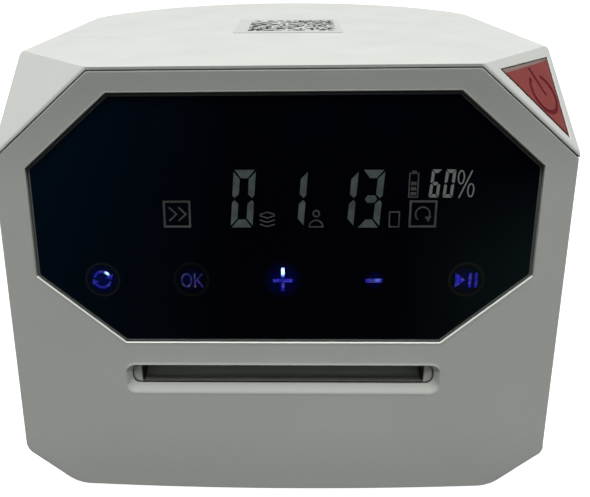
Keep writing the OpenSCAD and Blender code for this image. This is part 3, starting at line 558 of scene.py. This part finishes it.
def make_button():
    m = Nodes("button_red")
    n = m.noise(0.008, 3.0, 0.6)
    base = m.mix(m.ramp(n, 0.3, 0.7), (0.248, 0.056, 0.052, 1), (0.276, 0.068, 0.062, 1))
    # the engraving is a deeper red
    p = m.vmath("SUBTRACT", m.obj, tuple(P_A * MM))
    depth = m.vmath("DOT_PRODUCT", p, tuple(N_A))
    deep = m.ramp(depth, -0.00018, -0.00024)
    a = m.vmath("DOT_PRODUCT", p, tuple(F_E1))
    b = m.vmath("DOT_PRODUCT", p, tuple(F_E2))
    da = m.math("SUBTRACT", a, 0.0199)
    db = m.math("SUBTRACT", b, -0.0142)
    inside = m.ramp(m.math("SQRT", m.math("ADD", m.math("MULTIPLY", da, da), m.math("MULTIPLY", db, db))), 0.0100, 0.0095)
    base = m.mix(m.math("MULTIPLY", deep, inside), base, (0.128, 0.012, 0.018, 1))
    base = m.mix(m.ramp(m.noise(0.0009, 3.0), 0.35, 0.65, 0.0, 0.12), base, (0.20, 0.02, 0.02, 1))
    # painted highlight and shadow: the turned-up upper edge is painted paler, and the two long edges are painted dark
    # for the shadow in their gaps
    fold = m.math("ADD", b, m.math("MULTIPLY", a, 0.0114))
    top = m.ramp(fold, -0.00440, -0.00430)
    base = m.mix(top, base, (0.245, 0.172, 0.163, 1))
    for q, e, far, close in ((BUTTON_TRI[0], BUTTON_TRI[1], 0.00085, 0.00055), (BUTTON_TRI[1], BUTTON_TRI[2], 0.00050, 0.00025)):
        d = (Vector(e) - Vector(q)).normalized()
        side = m.math("ADD", m.math("MULTIPLY", m.math("SUBTRACT", a, q[0] * MM), -d.y),
                      m.math("MULTIPLY", m.math("SUBTRACT", b, q[1] * MM), d.x))
        base = m.mix(m.ramp(side, far, close), base, (0.050, 0.010, 0.013, 1))
    m.colour(base)
    m.rough(m.ramp(m.noise(0.003, 3.0), 0.3, 0.7, 0.36, 0.46))
    m.bump(m.noise(0.00045, 2.0, 0.6), 0.00001)
    m.set(Specular_IOR_Level=0.4)
    return m.mat


def make_liner():
    """Light plastic cheeks, painted paler than the housing's plastic as painted light; the runway between them is
    darker with painted shade, most of all along its front edge and its sides.
    """
    m = Nodes("throat_liner")
    x = m.math("ABSOLUTE", m.vmath("DOT_PRODUCT", m.obj, (1, 0, 0)))
    y = m.vmath("DOT_PRODUCT", m.obj, (0, 1, 0))
    u, v = face_coords(m)
    grain = m.noise(0.0005, 2.0, 0.6)
    # painted light: the cheeks are paler than the housing's plastic
    light = m.mix(m.ramp(grain, 0.3, 0.7), (0.84, 0.86, 0.82, 1), (0.90, 0.92, 0.88, 1))
    # painted shade: the runway darkens towards its front edge
    floor = m.mix(m.ramp(y, -0.0938, -0.0912), (0.12, 0.122, 0.115, 1), (0.90, 0.93, 0.88, 1))
    # painted shade: the runway's sides are darker still
    inner = m.mix(m.ramp(x, 0.0440, 0.0446), floor, (0.06, 0.06, 0.057, 1))
    m.colour(m.mix(m.ramp(x, 0.0452, 0.0449), light, inner))
    m.rough(m.ramp(m.noise(0.012, 3.0, 0.6), 0.3, 0.7, 0.36, 0.46))
    m.bump(m.noise(0.0003, 2.0, 0.6), 0.000008)
    m.set(Specular_IOR_Level=0.4)
    return m.mat


M["throat_liner"] = make_liner()
M["bronze"] = make_bronze()
M["tyre_rubber"] = make_tyre()
M["press_grey"] = make_press()
M["circuit_board"] = make_pcb("circuit_board", "yz")
M["touch_pcb"] = make_pcb("touch_pcb", "xz")
M["cell_wrap"] = make_cell()
M["cable_grey"] = make_ribbon()
M["board_components"] = make_parts()
M["label_white"] = make_label()
M["cover_white"] = make_cover()
M["black_glass"] = make_glass()
M["glass_edge"] = make_glass_edge()
M["lcd_figures"] = make_figures("lcd_figures", (0.118, 0.145, 0.150))
M["lcd_pictograms"] = make_figures("lcd_pictograms", (0.104, 0.104, 0.108))
M["lit_symbols"] = make_symbols()
M["button_red"] = make_button()


# ---------------------------------------------------------------- mesh tools
def link_piece(name, me, mats, body, node=None):
    ob = bpy.data.objects.new(name, me)
    SCENE.collection.objects.link(ob)
    kept = [p.material_index for p in me.polygons]
    me.materials.clear()
    for k in mats:
        me.materials.append(M[k])
    for p, i in zip(me.polygons, kept):
        p.material_index = min(i, len(mats) - 1)
    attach(ob, body)
    if node:
        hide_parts(node)
    return ob


def cad_bmesh(node, merge=2e-6, angle=0.35):
    """The node's mesh with its triangles joined back into flat faces."""
    src = NODES[node]
    bm = bmesh.new()
    bm.from_mesh(src.data)
    bm.transform(src.matrix_world)
    bmesh.ops.remove_doubles(bm, verts=bm.verts, dist=merge)
    bmesh.ops.dissolve_limit(bm, angle_limit=math.radians(angle), verts=bm.verts, edges=bm.edges)
    bm.normal_update()
    return bm


def bevelled(name, bm, mats, body, node, width_of, seg=3, sharp=32, deform=None, short=0.0, clamp=True):
    """A piece from a bmesh whose edges carry their own fillet widths, in millimetres."""
    bm.normal_update()
    layer = bm.edges.layers.float.get("bevel_weight_edge") or bm.edges.layers.float.new("bevel_weight_edge")
    widths = {}
    for e in bm.edges:
        if len(e.link_faces) != 2:
            continue
        turn = math.degrees(e.calc_face_angle(0.0))
        if turn < 5:
            continue
        w = width_of(e, turn) if e.calc_length() / MM > short else 0.0
        if w > 0:
            widths[e.index] = w
    bm.edges.index_update()
    top = max(widths.values()) if widths else 1.0
    widths = {}
    for e in bm.edges:
        e[layer] = 0.0
        e.smooth = True
        if len(e.link_faces) != 2:
            continue
        turn = math.degrees(e.calc_face_angle(0.0))
        w = width_of(e, turn) if turn >= 5 and e.calc_length() / MM > short else 0.0
        if w > 0:
            e[layer] = min(1.0, w / top)
        elif turn > sharp:
            e.smooth = False
    for f in bm.faces:
        f.smooth = True
    if deform:
        deform(bm)
    me = bpy.data.meshes.new(name)
    bm.to_mesh(me)
    bm.free()
    for a in ("custom_normal",):
        if a in me.attributes:
            me.attributes.remove(me.attributes[a])
    ob = link_piece(name, me, mats, body, node)
    b = ob.modifiers.new("fillets", "BEVEL")
    b.limit_method = "WEIGHT"
    b.offset_type = "OFFSET"
    b.width = top * MM
    b.segments = seg
    b.profile = 0.5
    b.use_clamp_overlap = clamp
    b.harden_normals = False
    n = ob.modifiers.new("normals", "WEIGHTED_NORMAL")
    n.keep_sharp = True
    n.weight = 60
    return ob


def dress(node, key, width=0.25, seg=2, angle=38):
    """A CAD node that stays: softened edges and its own material."""
    ob = NODES[node]
    ob.data.materials.clear()
    ob.data.materials.append(M[key])
    for p in ob.data.polygons:
        p.material_index = 0
    if width:
        w = ob.modifiers.new("weld", "WELD")
        w.merge_threshold = 2e-6
        d = ob.modifiers.new("flat", "DECIMATE")
        d.decimate_type = "DISSOLVE"
        d.angle_limit = math.radians(0.4)
        b = ob.modifiers.new("edges", "BEVEL")
        b.limit_method = "ANGLE"
        b.angle_limit = math.radians(angle)
        b.width = width * MM
        b.segments = seg
        b.use_clamp_overlap = True
        n = ob.modifiers.new("normals", "WEIGHTED_NORMAL")
        n.keep_sharp = True
        n.weight = 60
    return ob


def inset_poly(pts, t):
    out = []
    n = len(pts)
    for i in range(n):
        a, b, c = (Vector(pts[(i + k) % n]) for k in (-1, 0, 1))
        d1, d2 = (b - a).normalized(), (c - b).normalized()
        n1, n2 = Vector((-d1.y, d1.x)), Vector((-d2.y, d2.x))
        out.append(b + (n1 + n2) * (t / (1 + n1.dot(n2))))
    return out


def near(a, b, t=0.02):
    return abs(a - b) < t


def plane_dist(p, q, n):
    return (p - q).dot(n)


def outer_kind(f):
    """Names the outer surface that a shell face lies on, or 'inner'."""
    c = f.calc_center_median() / MM
    n = f.normal
    if near(c.z, TOP_Z) and n.z > 0.99:
        return "top"
    if near(c.z, BASE_H) and n.z < -0.99:
        return "under"
    if near(abs(c.x), HALF_W) and abs(n.x) > 0.99:
        return "side"
    if n.dot(N_FACE) > 0.999 and abs(plane_dist(c, uvw(0, 0), N_FACE)) < 0.05:
        return "face"
    for s in (1, -1):
        q = Vector((c.x * s, c.y, c.z))
        m = Vector((n.x * s, n.y, n.z))
        if m.dot(N_A) > 0.999 and abs(plane_dist(q, P_A, N_A)) < 0.05:
            return "facet"
        if m.dot(N_D) > 0.999 and abs(plane_dist(q, P_D, N_D)) < 0.05:
            return "low"
    r = math.hypot(c.x, c.y - ARC_Y)
    if c.y > ARC_Y and abs(r - REAR_R) < 0.35 and abs(n.z) < 0.01 and (n.x * c.x + n.y * (c.y - ARC_Y)) / r > 0.98:
        return "arc"
    return "inner"


KINDS = ["inner", "top", "under", "side", "face", "facet", "low", "arc", "strip"]


def fillet(bm, steps, seg=3, skip=None, clamp=True):
    """Rounds edges in turn; each step is a width in millimetres and the pairs of surfaces whose edges it takes."""
    layer = bm.faces.layers.int.get("kind") or bm.faces.layers.int.new("kind")
    bm.normal_update()
    for f in bm.faces:
        f[layer] = KINDS.index(outer_kind(f))
    for width, shortest, pairs in steps:
        pairs = {frozenset(q) for q in pairs}
        bm.normal_update()
        pick = []
        for e in bm.edges:
            if len(e.link_faces) != 2 or e.calc_length() / MM < shortest:
                continue
            if math.degrees(e.calc_face_angle(0.0)) < 4 or (skip and skip(e)):
                continue
            if frozenset(KINDS[f[layer]] for f in e.link_faces) in pairs:
                pick.append(e)
        if not pick:
            continue
        out = bmesh.ops.bevel(bm, geom=pick, offset=width * MM, offset_type="OFFSET", segments=seg, profile=0.5,
                              affect="EDGES", clamp_overlap=clamp, loop_slide=True, material=-1)
        for f in out["faces"]:
            f[layer] = KINDS.index("strip")
    bm.faces.layers.int.remove(layer)


def finish_mesh(name, bm, mats, body, node, sharp=32):
    """A smooth-shaded piece whose unrounded edges stay crisp."""
    bm.normal_update()
    for e in bm.edges:
        e.smooth = not (len(e.link_faces) == 2 and math.degrees(e.calc_face_angle(0.0)) > sharp)
    for f in bm.faces:
        f.smooth = True
    me = bpy.data.meshes.new(name)
    bm.to_mesh(me)
    bm.free()
    for a in ("custom_normal",):
        if a in me.attributes:
            me.attributes.remove(me.attributes[a])
    ob = link_piece(name, me, mats, body, node)
    n = ob.modifiers.new("normals", "WEIGHTED_NORMAL")
    n.keep_sharp = True
    n.weight = 60
    return ob


def pair_table(table, default=0.0):
    def width_of(e, turn):
        a, b = (outer_kind(f) for f in e.link_faces)
        return table.get((a, b), table.get((b, a), default))
    return width_of


# ---------------------------------------------------------------- housing shells
shell_bm = cad_bmesh("main_shell")
fillet(shell_bm, [
    (2.6, 5, [("side", "arc")]),
    (2.2, 1, [("under", "low")]),
    (2.0, 1, [("side", "low")]),
    (1.5, 0.3, [("top", "arc"), ("top", "side"), ("top", "strip")]),
    (0.8, 0.3, [("under", "arc"), ("under", "side"), ("under", "strip")]),
    (0.7, 1, [("facet", "face")]),
    (0.45, 1, [("top", "facet"), ("top", "face"), ("facet", "side")]),
    (0.2, 1.4, [("facet", "inner")]),
    (0.12, 1.4, [("face", "inner")]),
])
shell = finish_mesh("shell", shell_bm, ["shell_white"], "housing", "main_shell")

BOW_V = 7.0


def face_uvw(co):
    """u, v and w in millimetres of a point given in metres."""
    d = co / MM - Vector((0, -FRONT_Y, BASE_H))
    return d.x, d.dot(Vector((0, SL, CL))), d.dot(N_FACE)


def cut(bm, faces, point, normal):
    geom = list(faces) + list({e for f in faces for e in f.edges}) + list({v for f in faces for v in f.verts})
    bmesh.ops.bisect_plane(bm, geom=geom, dist=1e-7, plane_co=point, plane_no=normal)


def bow_cuts(bm):
    """Rows across the foot of the cover, so that its lower edge can bow."""
    cut(bm, bm.faces[:], uvw(0, BOW_V) * MM, Vector((0, SL, CL)))
    for x in range(-64, 65, 8):
        low = [f for f in bm.faces if all(face_uvw(v.co)[1] < BOW_V + 0.01 for v in f.verts)]
        cut(bm, low, Vector((x, 0, 0)) * MM, Vector((1, 0, 0)))


def bow(bm):
    for vert in bm.verts:
        u, v, w = face_uvw(vert.co)
        if v < BOW_V and w > -3.05:
            k = 1.7 * max(0.0, 1 - (u / 68.2) ** 2) * min(1.0, (BOW_V - v) / BOW_V)
            vert.co -= Vector((0, SL, CL)) * k * MM


SLOT_OUT = (49.75, 34.0, 44.6, 3.0)     # the hole in the cover: half width, foot, head, corner radius
SLOT_EDGE = (49.75, 34.0, 43.75, 2.9)   # where the dish begins
SLOT_IN = (48.0, 36.85, 43.35, 2.2)     # the opening at the bottom of the dish


def grown(o, t):
    return (o[0] + t, o[1] - t, o[2] + t, o[3] + t)


def slot_point(u, v, o):
    """Where a point of the hole's outline lies on outline o."""
    hw, v0, v1, r = SLOT_OUT
    su, low = (1 if u > 0 else -1), v < (v0 + v1) / 2
    cu, cv = su * (hw - r), (v0 + r if low else v1 - r)
    d = Vector((u - cu, v - cv))
    if abs(u) < hw - r - 0.01:
        d = Vector((0, -1 if low else 1))
        return Vector((u / (hw - r) * (o[0] - o[3]), o[1] if low else o[2]))
    d.normalize()
    return Vector((su * (o[0] - o[3]), o[1] + o[3] if low else o[2] - o[3])) + d * o[3]


def lip_w(v):
    return -1.3 + (v - SLOT_IN[1]) / (SLOT_IN[2] - SLOT_IN[1]) * 0.8


def dish(bm):
    """Turns the straight wall of the slot's hole into a soft dish with a thin inner edge."""
    steps = 8

    def on_wall(x):
        a, b, c = face_uvw(x.co)
        return abs(a) < 49.9 and 33.9 < b < 44.7 and -3.05 < c < 0.05

    ring = [f for f in bm.faces if abs(f.normal.dot(N_FACE)) < 0.02 and all(on_wall(x) for x in f.verts)]
    rungs = {e for f in ring for e in f.edges if abs(face_uvw(e.verts[0].co)[2] - face_uvw(e.verts[1].co)[2]) > 1}
    bmesh.ops.subdivide_edges(bm, edges=list(rungs), cuts=steps - 1)
    for x in [x for x in bm.verts if on_wall(x)]:
        u, v, w = face_uvw(x.co)
        k = round(-w / 3.0 * steps)
        a = slot_point(u, v, SLOT_EDGE)
        b = slot_point(u, v, SLOT_IN)
        up = max(0.0, min(1.0, (v - 41.0) / 2.5))       # the upper edge carries a slight bead
        if k == 0:
            p, w = slot_point(u, v, grown(SLOT_EDGE, 0.5)), 0.0
            p.y += 0.35 * up
        elif k == 1:
            p, w = slot_point(u, v, grown(SLOT_EDGE, 0.2)), -0.04 + 0.2 * up
        elif k == 2:
            p, w = slot_point(u, v, grown(SLOT_EDGE, -0.1)), -0.14 + 0.33 * up
        elif k in (3, 4):
            t = 0.2 if k == 3 else 0.88
            p = a + (b - a) * t
            w = lip_w(b.y) * (0.22 if k == 3 else 0.9)
            w = w + (((0.1 if k == 3 else -0.12) - w) * up)
        elif k == 5:
            p, w = b, lip_w(b.y) - 0.03
        elif k == 6:
            p, w = slot_point(u, v, grown(SLOT_IN, 0.1)), lip_w(b.y) - 0.3
        elif k == 7:
            p, w = slot_point(u, v, grown(SLOT_IN, 0.6)), -2.75
        else:
            continue
        x.co = uvw(p.x, p.y, w) * MM


def pocket_lip(bm):
    """A fine raised lip round the pocket of the glass."""
    steps = 6

    def on_wall(x):
        a, b, c = face_uvw(x.co)
        return -2.05 < c < 0.05 and any(math.hypot(a - q[0], b - q[1]) < 0.05 for q in GLASS)

    ring = [f for f in bm.faces if abs(f.normal.dot(N_FACE)) < 0.02 and all(on_wall(x) for x in f.verts)]
    rungs = {e for f in ring for e in f.edges if abs(face_uvw(e.verts[0].co)[2] - face_uvw(e.verts[1].co)[2]) > 1}
    bmesh.ops.subdivide_edges(bm, edges=list(rungs), cuts=steps - 1)
    profile = ((0.62, 0.0), (0.36, 0.09), (0.12, 0.08), (0.0, -0.1), (0.0, -0.5), (0.0, -1.1))
    loops = [inset_poly(GLASS, -t) for t, w in profile]
    for x in [x for x in bm.verts if on_wall(x)]:
        u, v, w = face_uvw(x.co)
        i = min(range(8), key=lambda j: math.hypot(u - GLASS[j][0], v - GLASS[j][1]))
        k = round(-w / 2.0 * steps)
        if k < 6:
            p = loops[k][i]
            x.co = uvw(p.x, p.y, profile[k][1]) * MM


def close_seam(bm):
    """The cover's slanting and upper edges come a little nearer to the housing's rim."""
    for x in bm.verts:
        u, v, w = face_uvw(x.co)
        if w > -1.35 and near(abs(u), 55.262, 0.05) and near(v, 132.868, 0.05):
            x.co = uvw(math.copysign(55.31, u), 132.99, w) * MM
        elif w > -1.35 and near(abs(u), 85, 0.05) and near(v, 107.831, 0.05):
            x.co = uvw(u, 107.99, w) * MM


def shaped_already(e):
    """Edges in the slot's dish and in the lip round the glass, which have their own profile."""
    q = [face_uvw(x.co) for x in e.verts]
    return (all(abs(a) < 51.5 and 33 < b < 45.5 for a, b, c in q) or
            all(50 < b < 128.2 and abs(a) < 76.5 and c > -2.1 for a, b, c in q))


cover_bm = cad_bmesh("front_cover")
fillet(cover_bm, [
    (2.4, 1, [("under", "low")]),
    (2.0, 1, [("side", "low")]),
    (0.6, 0.3, [("face", "side"), ("face", "low"), ("face", "under"), ("face", "strip")]),
    (0.25, 1.4, [("face", "inner")]),
], skip=shaped_already, clamp=False)
bow_cuts(cover_bm)
bow(cover_bm)
dish(cover_bm)
pocket_lip(cover_bm)
close_seam(cover_bm)
cover = finish_mesh("cover", cover_bm, ["cover_white"], "housing", "front_cover")

# ---------------------------------------------------------------- lofted pieces
def round_poly(pts, r, seg):
    """Outline with its corners rounded to radius r; corners in order, counter-clockwise."""
    out = []
    n = len(pts)
    for i in range(n):
        a, b, c = (Vector(pts[(i + k) % n]) for k in (-1, 0, 1))
        d1, d2 = (b - a).normalized(), (c - b).normalized()
        turn = d1.angle(d2)
        t = r * math.tan(turn / 2)
        n1 = Vector((-d1.y, d1.x))
        centre = b - d1 * t + n1 * r
        a0 = math.atan2(-n1.y, -n1.x)
        for k in range(seg + 1):
            ang = a0 + turn * k / seg
            out.append(centre + Vector((math.cos(ang), math.sin(ang))) * r)
    return out


def loft(name, loops, closed=False, sharp=(), mat_rows=None, flip=False):
    """Skin through point loops (metres) of equal length; ends are capped unless the loft closes on itself."""
    bm = bmesh.new()
    rings = [[bm.verts.new(p) for p in loop] for loop in loops]
    n = len(loops[0])
    rows = len(rings) if closed else len(rings) - 1
    for r in range(rows):
        a, b = rings[r], rings[(r + 1) % len(rings)]
        for i in range(n):
            quad = (a[i], a[(i + 1) % n], b[(i + 1) % n], b[i])
            f = bm.faces.new(quad[::-1] if flip else quad)
            f.smooth = True
            if mat_rows and r in mat_rows:
                f.material_index = mat_rows[r]
    if not closed:
        for ring, back in ((rings[0], True), (rings[-1], False)):
            f = bm.faces.new(ring[::-1] if back != flip else ring)
            f.smooth = True
    bm.edges.ensure_lookup_table()
    for r in sharp:
        for i in range(n):
            e = bm.edges.get((rings[r][i], rings[r][(i + 1) % n]))
            e.smooth = False
    bmesh.ops.recalc_face_normals(bm, faces=bm.faces[:])
    me = bpy.data.meshes.new(name)
    bm.to_mesh(me)
    bm.free()
    return me


# glass: ground bevel round its edge, rounded corners
def glass_loop(t, w, r=0.9):
    return [uvw(p.x, p.y, w) * MM for p in round_poly(inset_poly(GLASS, t), r, 5)]


glass_me = loft("glass", [glass_loop(0.3, -2.0), glass_loop(0.25, -1.9), glass_loop(0.25, -1.0), glass_loop(0.35, -0.74),
                          glass_loop(1.0, -0.52), glass_loop(1.1, -0.5)], sharp=(1,), mat_rows={2: 1, 3: 1})
glass = link_piece("glass", glass_me, ["black_glass", "glass_edge"], "housing", "glass_panel")


# throat: one closed skin from the lip through the tunnel and back over its outside
def pv(v, w):
    p = uvw(0, v, w)
    return Vector((p.y, p.z))


def throat_loop(hw, lo, hi, r, seg=6):
    """Rounded rectangle across X between two points given as (y, z)."""
    lo, hi = Vector(lo), Vector(hi)
    h = (hi - lo).length
    d = (hi - lo) / h
    out = []
    for q in round_poly([(-hw, 0), (hw, 0), (hw, h), (-hw, h)], r, seg):
        yz = lo + d * q.y
        out.append(Vector((q.x, yz.x, yz.y)) * MM)
    return out


def blend(a, b, t):
    return a + (b - a) * t


throat_loops = [
    throat_loop(47.7, pv(37.15, -1.7), pv(43.0, -1.0), 1.95),
    throat_loop(47.6, pv(37.25, -1.5), pv(42.95, -0.85), 1.85),
    throat_loop(45.1, pv(37.4, -1.5), pv(42.9, -0.85), 0.85),
    throat_loop(44.95, pv(37.46, -1.6), pv(42.86, -0.95), 0.75),
    throat_loop(44.8, pv(37.6, -2.1), pv(42.8, -1.5), 0.5),
    throat_loop(44.75, Vector((-91.6, 45.34)), Vector((-91.2, 49.42)), 0.45),
    throat_loop(44.7, Vector((-88, 46.25)), Vector((-88.0, 51.05)), 0.4),
    throat_loop(44.7, Vector((-86, 46.3)), Vector((-86, 51.05)), 0.4),
    throat_loop(44.8, Vector((-82.05, 46.3)), Vector((-82.05, 51.02)), 0.4),
    throat_loop(47.7, Vector((-82.0, 43.7)), Vector((-82.0, 53.5)), 1.5),
    throat_loop(47.8, Vector((-86.3, 42.8)), Vector((-86.3, 52.45)), 1.6),
    throat_loop(49.5, pv(34.9, -4.62), pv(45.4, -4.62), 2.6),
    throat_loop(52.7, pv(31.6, -4.6), pv(47.2, -4.6), 2.8),
    throat_loop(53.0, pv(31.4, -4.4), pv(47.4, -4.4), 3.0),
    throat_loop(53.0, pv(31.4, -3.06), pv(47.4, -3.06), 3.0),
    throat_loop(47.6, pv(37.6, -3.06), pv(43.05, -3.06), 2.1),
]
throat = link_piece("throat", loft("throat", throat_loops, closed=True, sharp=(8, 9, 11, 14, 15)), ["throat_liner"], "housing", "exit_throat")

# label: paper with rounded corners
def label_width(e, turn):
    a, b = e.verts
    return 1.2 if abs(a.co.z - b.co.z) > 0.0001 else 0.0


label = bevelled("label", cad_bmesh("blank_label"), ["label_white"], "housing", "blank_label", label_width, seg=5)


# power button

def shifted_corner(i, moves):
    """Corner i of the button's outline after each side has moved inwards by its own amount."""
    def side(k):
        a, b = Vector(BUTTON_TRI[k]), Vector(BUTTON_TRI[(k + 1) % 3])
        d = (b - a).normalized()
        return a + Vector((-d.y, d.x)) * moves[k], d
    p, d = side((i + 2) % 3)
    q, e = side(i)
    t = (q - p).cross(e) / d.cross(e)
    return p + d * t


def button_mesh(bm):
    origin = P_A * MM

    def local(co):
        d = (co - origin) / MM
        return d.dot(F_E1), d.dot(F_E2), d.dot(N_A)

    def world(a, b, w):
        return origin + (F_E1 * a + F_E2 * b + N_A * w) * MM

    # a fold across the top of the face, so that its upper edge can turn up towards the facet
    front = [f for f in bm.faces if f.normal.dot(N_A) > 0.99 and abs(local(f.calc_center_median())[2] + 0.6) < 0.05]
    fold = [Vector((8.64, -4.45)), Vector((35.0, -4.75))]
    d = (fold[1] - fold[0]).normalized()
    cut(bm, front, world(fold[0].x, fold[0].y, -0.6), (F_E1 * -d.y + F_E2 * d.x).normalized())
    new = [shifted_corner(i, BUTTON_MOVES) for i in range(3)]
    for vert in bm.verts:
        a, b, w = local(vert.co)
        for i, (q, r) in enumerate(zip(BUTTON_TRI, new)):
            if math.hypot(a - q[0], b - q[1]) < 0.05:
                a, b = r
                w = w if w < -2 else (-0.30 if i != 1 else -0.16)
                break
        else:
            if w < -2 or b > -4.9:
                w = w if w < -2 else -0.16
            else:
                da, db = a - 19.9, b + 14.2
                r = math.hypot(da, db)
                if 4.9 < r < 6.1 and not (abs(a - 21.1) < 0.9 and b > -10):
                    k = (r + (0.14 if r > 5.5 else -0.16)) / r
                    a, b = 19.59 + (da * 1.0529 + db * 0.1234) * k, -14.2 + (da * 0.1234 + db * 1.1467) * k
                else:
                    a = a - 0.35 + (0.17 if a > 21.0 + (b + 10.1) * 0.093 else -0.17)
                    b = b * 1.03 + 0.3
                w = -0.16 if w > -0.8 else -0.27
        vert.co = world(a, b, w)


def button_width(e, turn):
    q = [(x.co - P_A * MM) / MM for x in e.verts]
    if min(x.dot(N_A) for x in q) > -0.5 and (q[0] - q[1]).length > 8:
        return 0.15
    return 0.0


BUTTON_MOVES = (-0.12, -0.15, -0.28)    # long edge, right edge, top edge: it nearly fills its hole
button_bm = cad_bmesh("power_button")
button_mesh(button_bm)
button = bevelled("button", button_bm, ["button_red"], "button", "power_button", button_width, seg=2)

# ---------------------------------------------------------------- the other nodes, as they come from the frame
PLAIN = {
    "base_plate": ("base_dark", 0.4), "rubber_feet": ("rubber", 0.5), "base_gear": ("gear_plastic", 0.0),
    "glide_ring": ("glide_plastic", 0.3), "centre_spindle": ("steel", 0.3), "spindle_nut": ("screw_steel", 0.25),
    "base_screws": ("screw_steel", 0.15), "display_digits": ("lcd_figures", 0.0),
    "display_pictograms": ("lcd_pictograms", 0.0), "key_symbols": ("lit_symbols", 0.0),
    "display_module": ("display_frame", 0.3), "touch_board": ("touch_pcb", 0.0), "touch_springs": ("spring_steel", 0.0),
    "bottom_tray": ("tray_white", 0.25), "tray_screws": ("screw_steel", 0.15),
    "spindle_bush": ("bronze", 0.2), "card_bed": ("bay_grey", 0.2), "side_plate_left": ("bay_grey", 0.25),
    "side_plate_right": ("bay_grey", 0.25), "bay_roof": ("bay_grey", 0.2), "gate_wall": ("bay_grey", 0.2),
    "separator_pads": ("rubber", 0.3), "rear_bezel": ("bezel_grey", 0.5), "guide_rod": ("steel", 0.2),
    "shaft_bushes": ("bronze", 0.15), "sensor_bar": ("bay_grey", 0.3), "card_sensors": ("board_components", 0.3),
    "turn_motor": ("motor_can", 0.5), "feed_motor": ("motor_can", 0.5), "eject_motor": ("motor_can", 0.5),
    "battery_cells": ("cell_wrap", 0.5), "battery_cradle": ("board_components", 0.2), "main_board": ("circuit_board", 0.0),
    "board_parts": ("board_components", 0.25), "board_standoffs": ("screw_steel", 0.15), "ribbon_cable": ("cable_grey", 0.0),
    "charge_port": ("port_black", 0.15), "switch_board": ("circuit_board", 0.0),
    "turn_motor_shaft": ("steel", 0.2), "turn_pinion": ("gear_plastic", 0.0), "feed_shaft": ("steel", 0.3),
    "feed_tyres": ("tyre_rubber", 0.3), "feed_gear": ("gear_plastic", 0.0), "feed_motor_shaft": ("steel", 0.1),
    "feed_pinion": ("bronze", 0.0), "eject_shaft": ("steel", 0.3), "eject_tyres": ("tyre_rubber", 0.3),
    "eject_gear": ("gear_plastic", 0.0), "eject_motor_shaft": ("steel", 0.1), "eject_pinion": ("bronze", 0.0),
    "pinch_shaft": ("steel", 0.3), "pinch_tyres": ("tyre_rubber", 0.3), "press_block": ("press_grey", 0.4),
    "slide_bush": ("bronze", 0.2),
}
for node, (key, width) in PLAIN.items():
    dress(node, key, width)

# ---------------------------------------------------------------- floor
bm = bmesh.new()
bmesh.ops.create_grid(bm, x_segments=2, y_segments=2, size=40.0)
floor_mesh = bpy.data.meshes.new("floor")
bm.to_mesh(floor_mesh)
bm.free()
floor = bpy.data.objects.new("floor", floor_mesh)
floor.location.z = -0.0001    # just under the soles of the feet
SCENE.collection.objects.link(floor)
fm = Nodes("pale_floor")
fm.colour(fm.mix(fm.ramp(fm.noise(0.25, 3.0), 0.3, 0.7), (0.25, 0.25, 0.25, 1), (0.26, 0.26, 0.26, 1)))
fm.set(Roughness=0.9, Specular_IOR_Level=0.0, Emission_Color=(1, 1, 1, 1), Emission_Strength=1.0)
floor_mesh.materials.append(fm.mat)
# the pale floor is seen by the camera only; the even light from below comes from the surroundings
floor.visible_diffuse = False
floor.visible_glossy = False

# the pale backdrop closes the room; like the floor, it only fills the picture behind the object
bm = bmesh.new()
bmesh.ops.create_uvsphere(bm, u_segments=48, v_segments=24, radius=12.0)
bmesh.ops.delete(bm, geom=[v for v in bm.verts if v.co.z < -0.6], context="VERTS")
bmesh.ops.reverse_faces(bm, faces=bm.faces[:])
for f in bm.faces:
    f.smooth = True
backdrop_mesh = bpy.data.meshes.new("backdrop")
bm.to_mesh(backdrop_mesh)
bm.free()
backdrop = bpy.data.objects.new("backdrop", backdrop_mesh)
SCENE.collection.objects.link(backdrop)
backdrop_mesh.materials.append(fm.mat)
for flag in ("visible_diffuse", "visible_glossy", "visible_transmission", "visible_volume_scatter", "visible_shadow"):
    setattr(backdrop, flag, False)
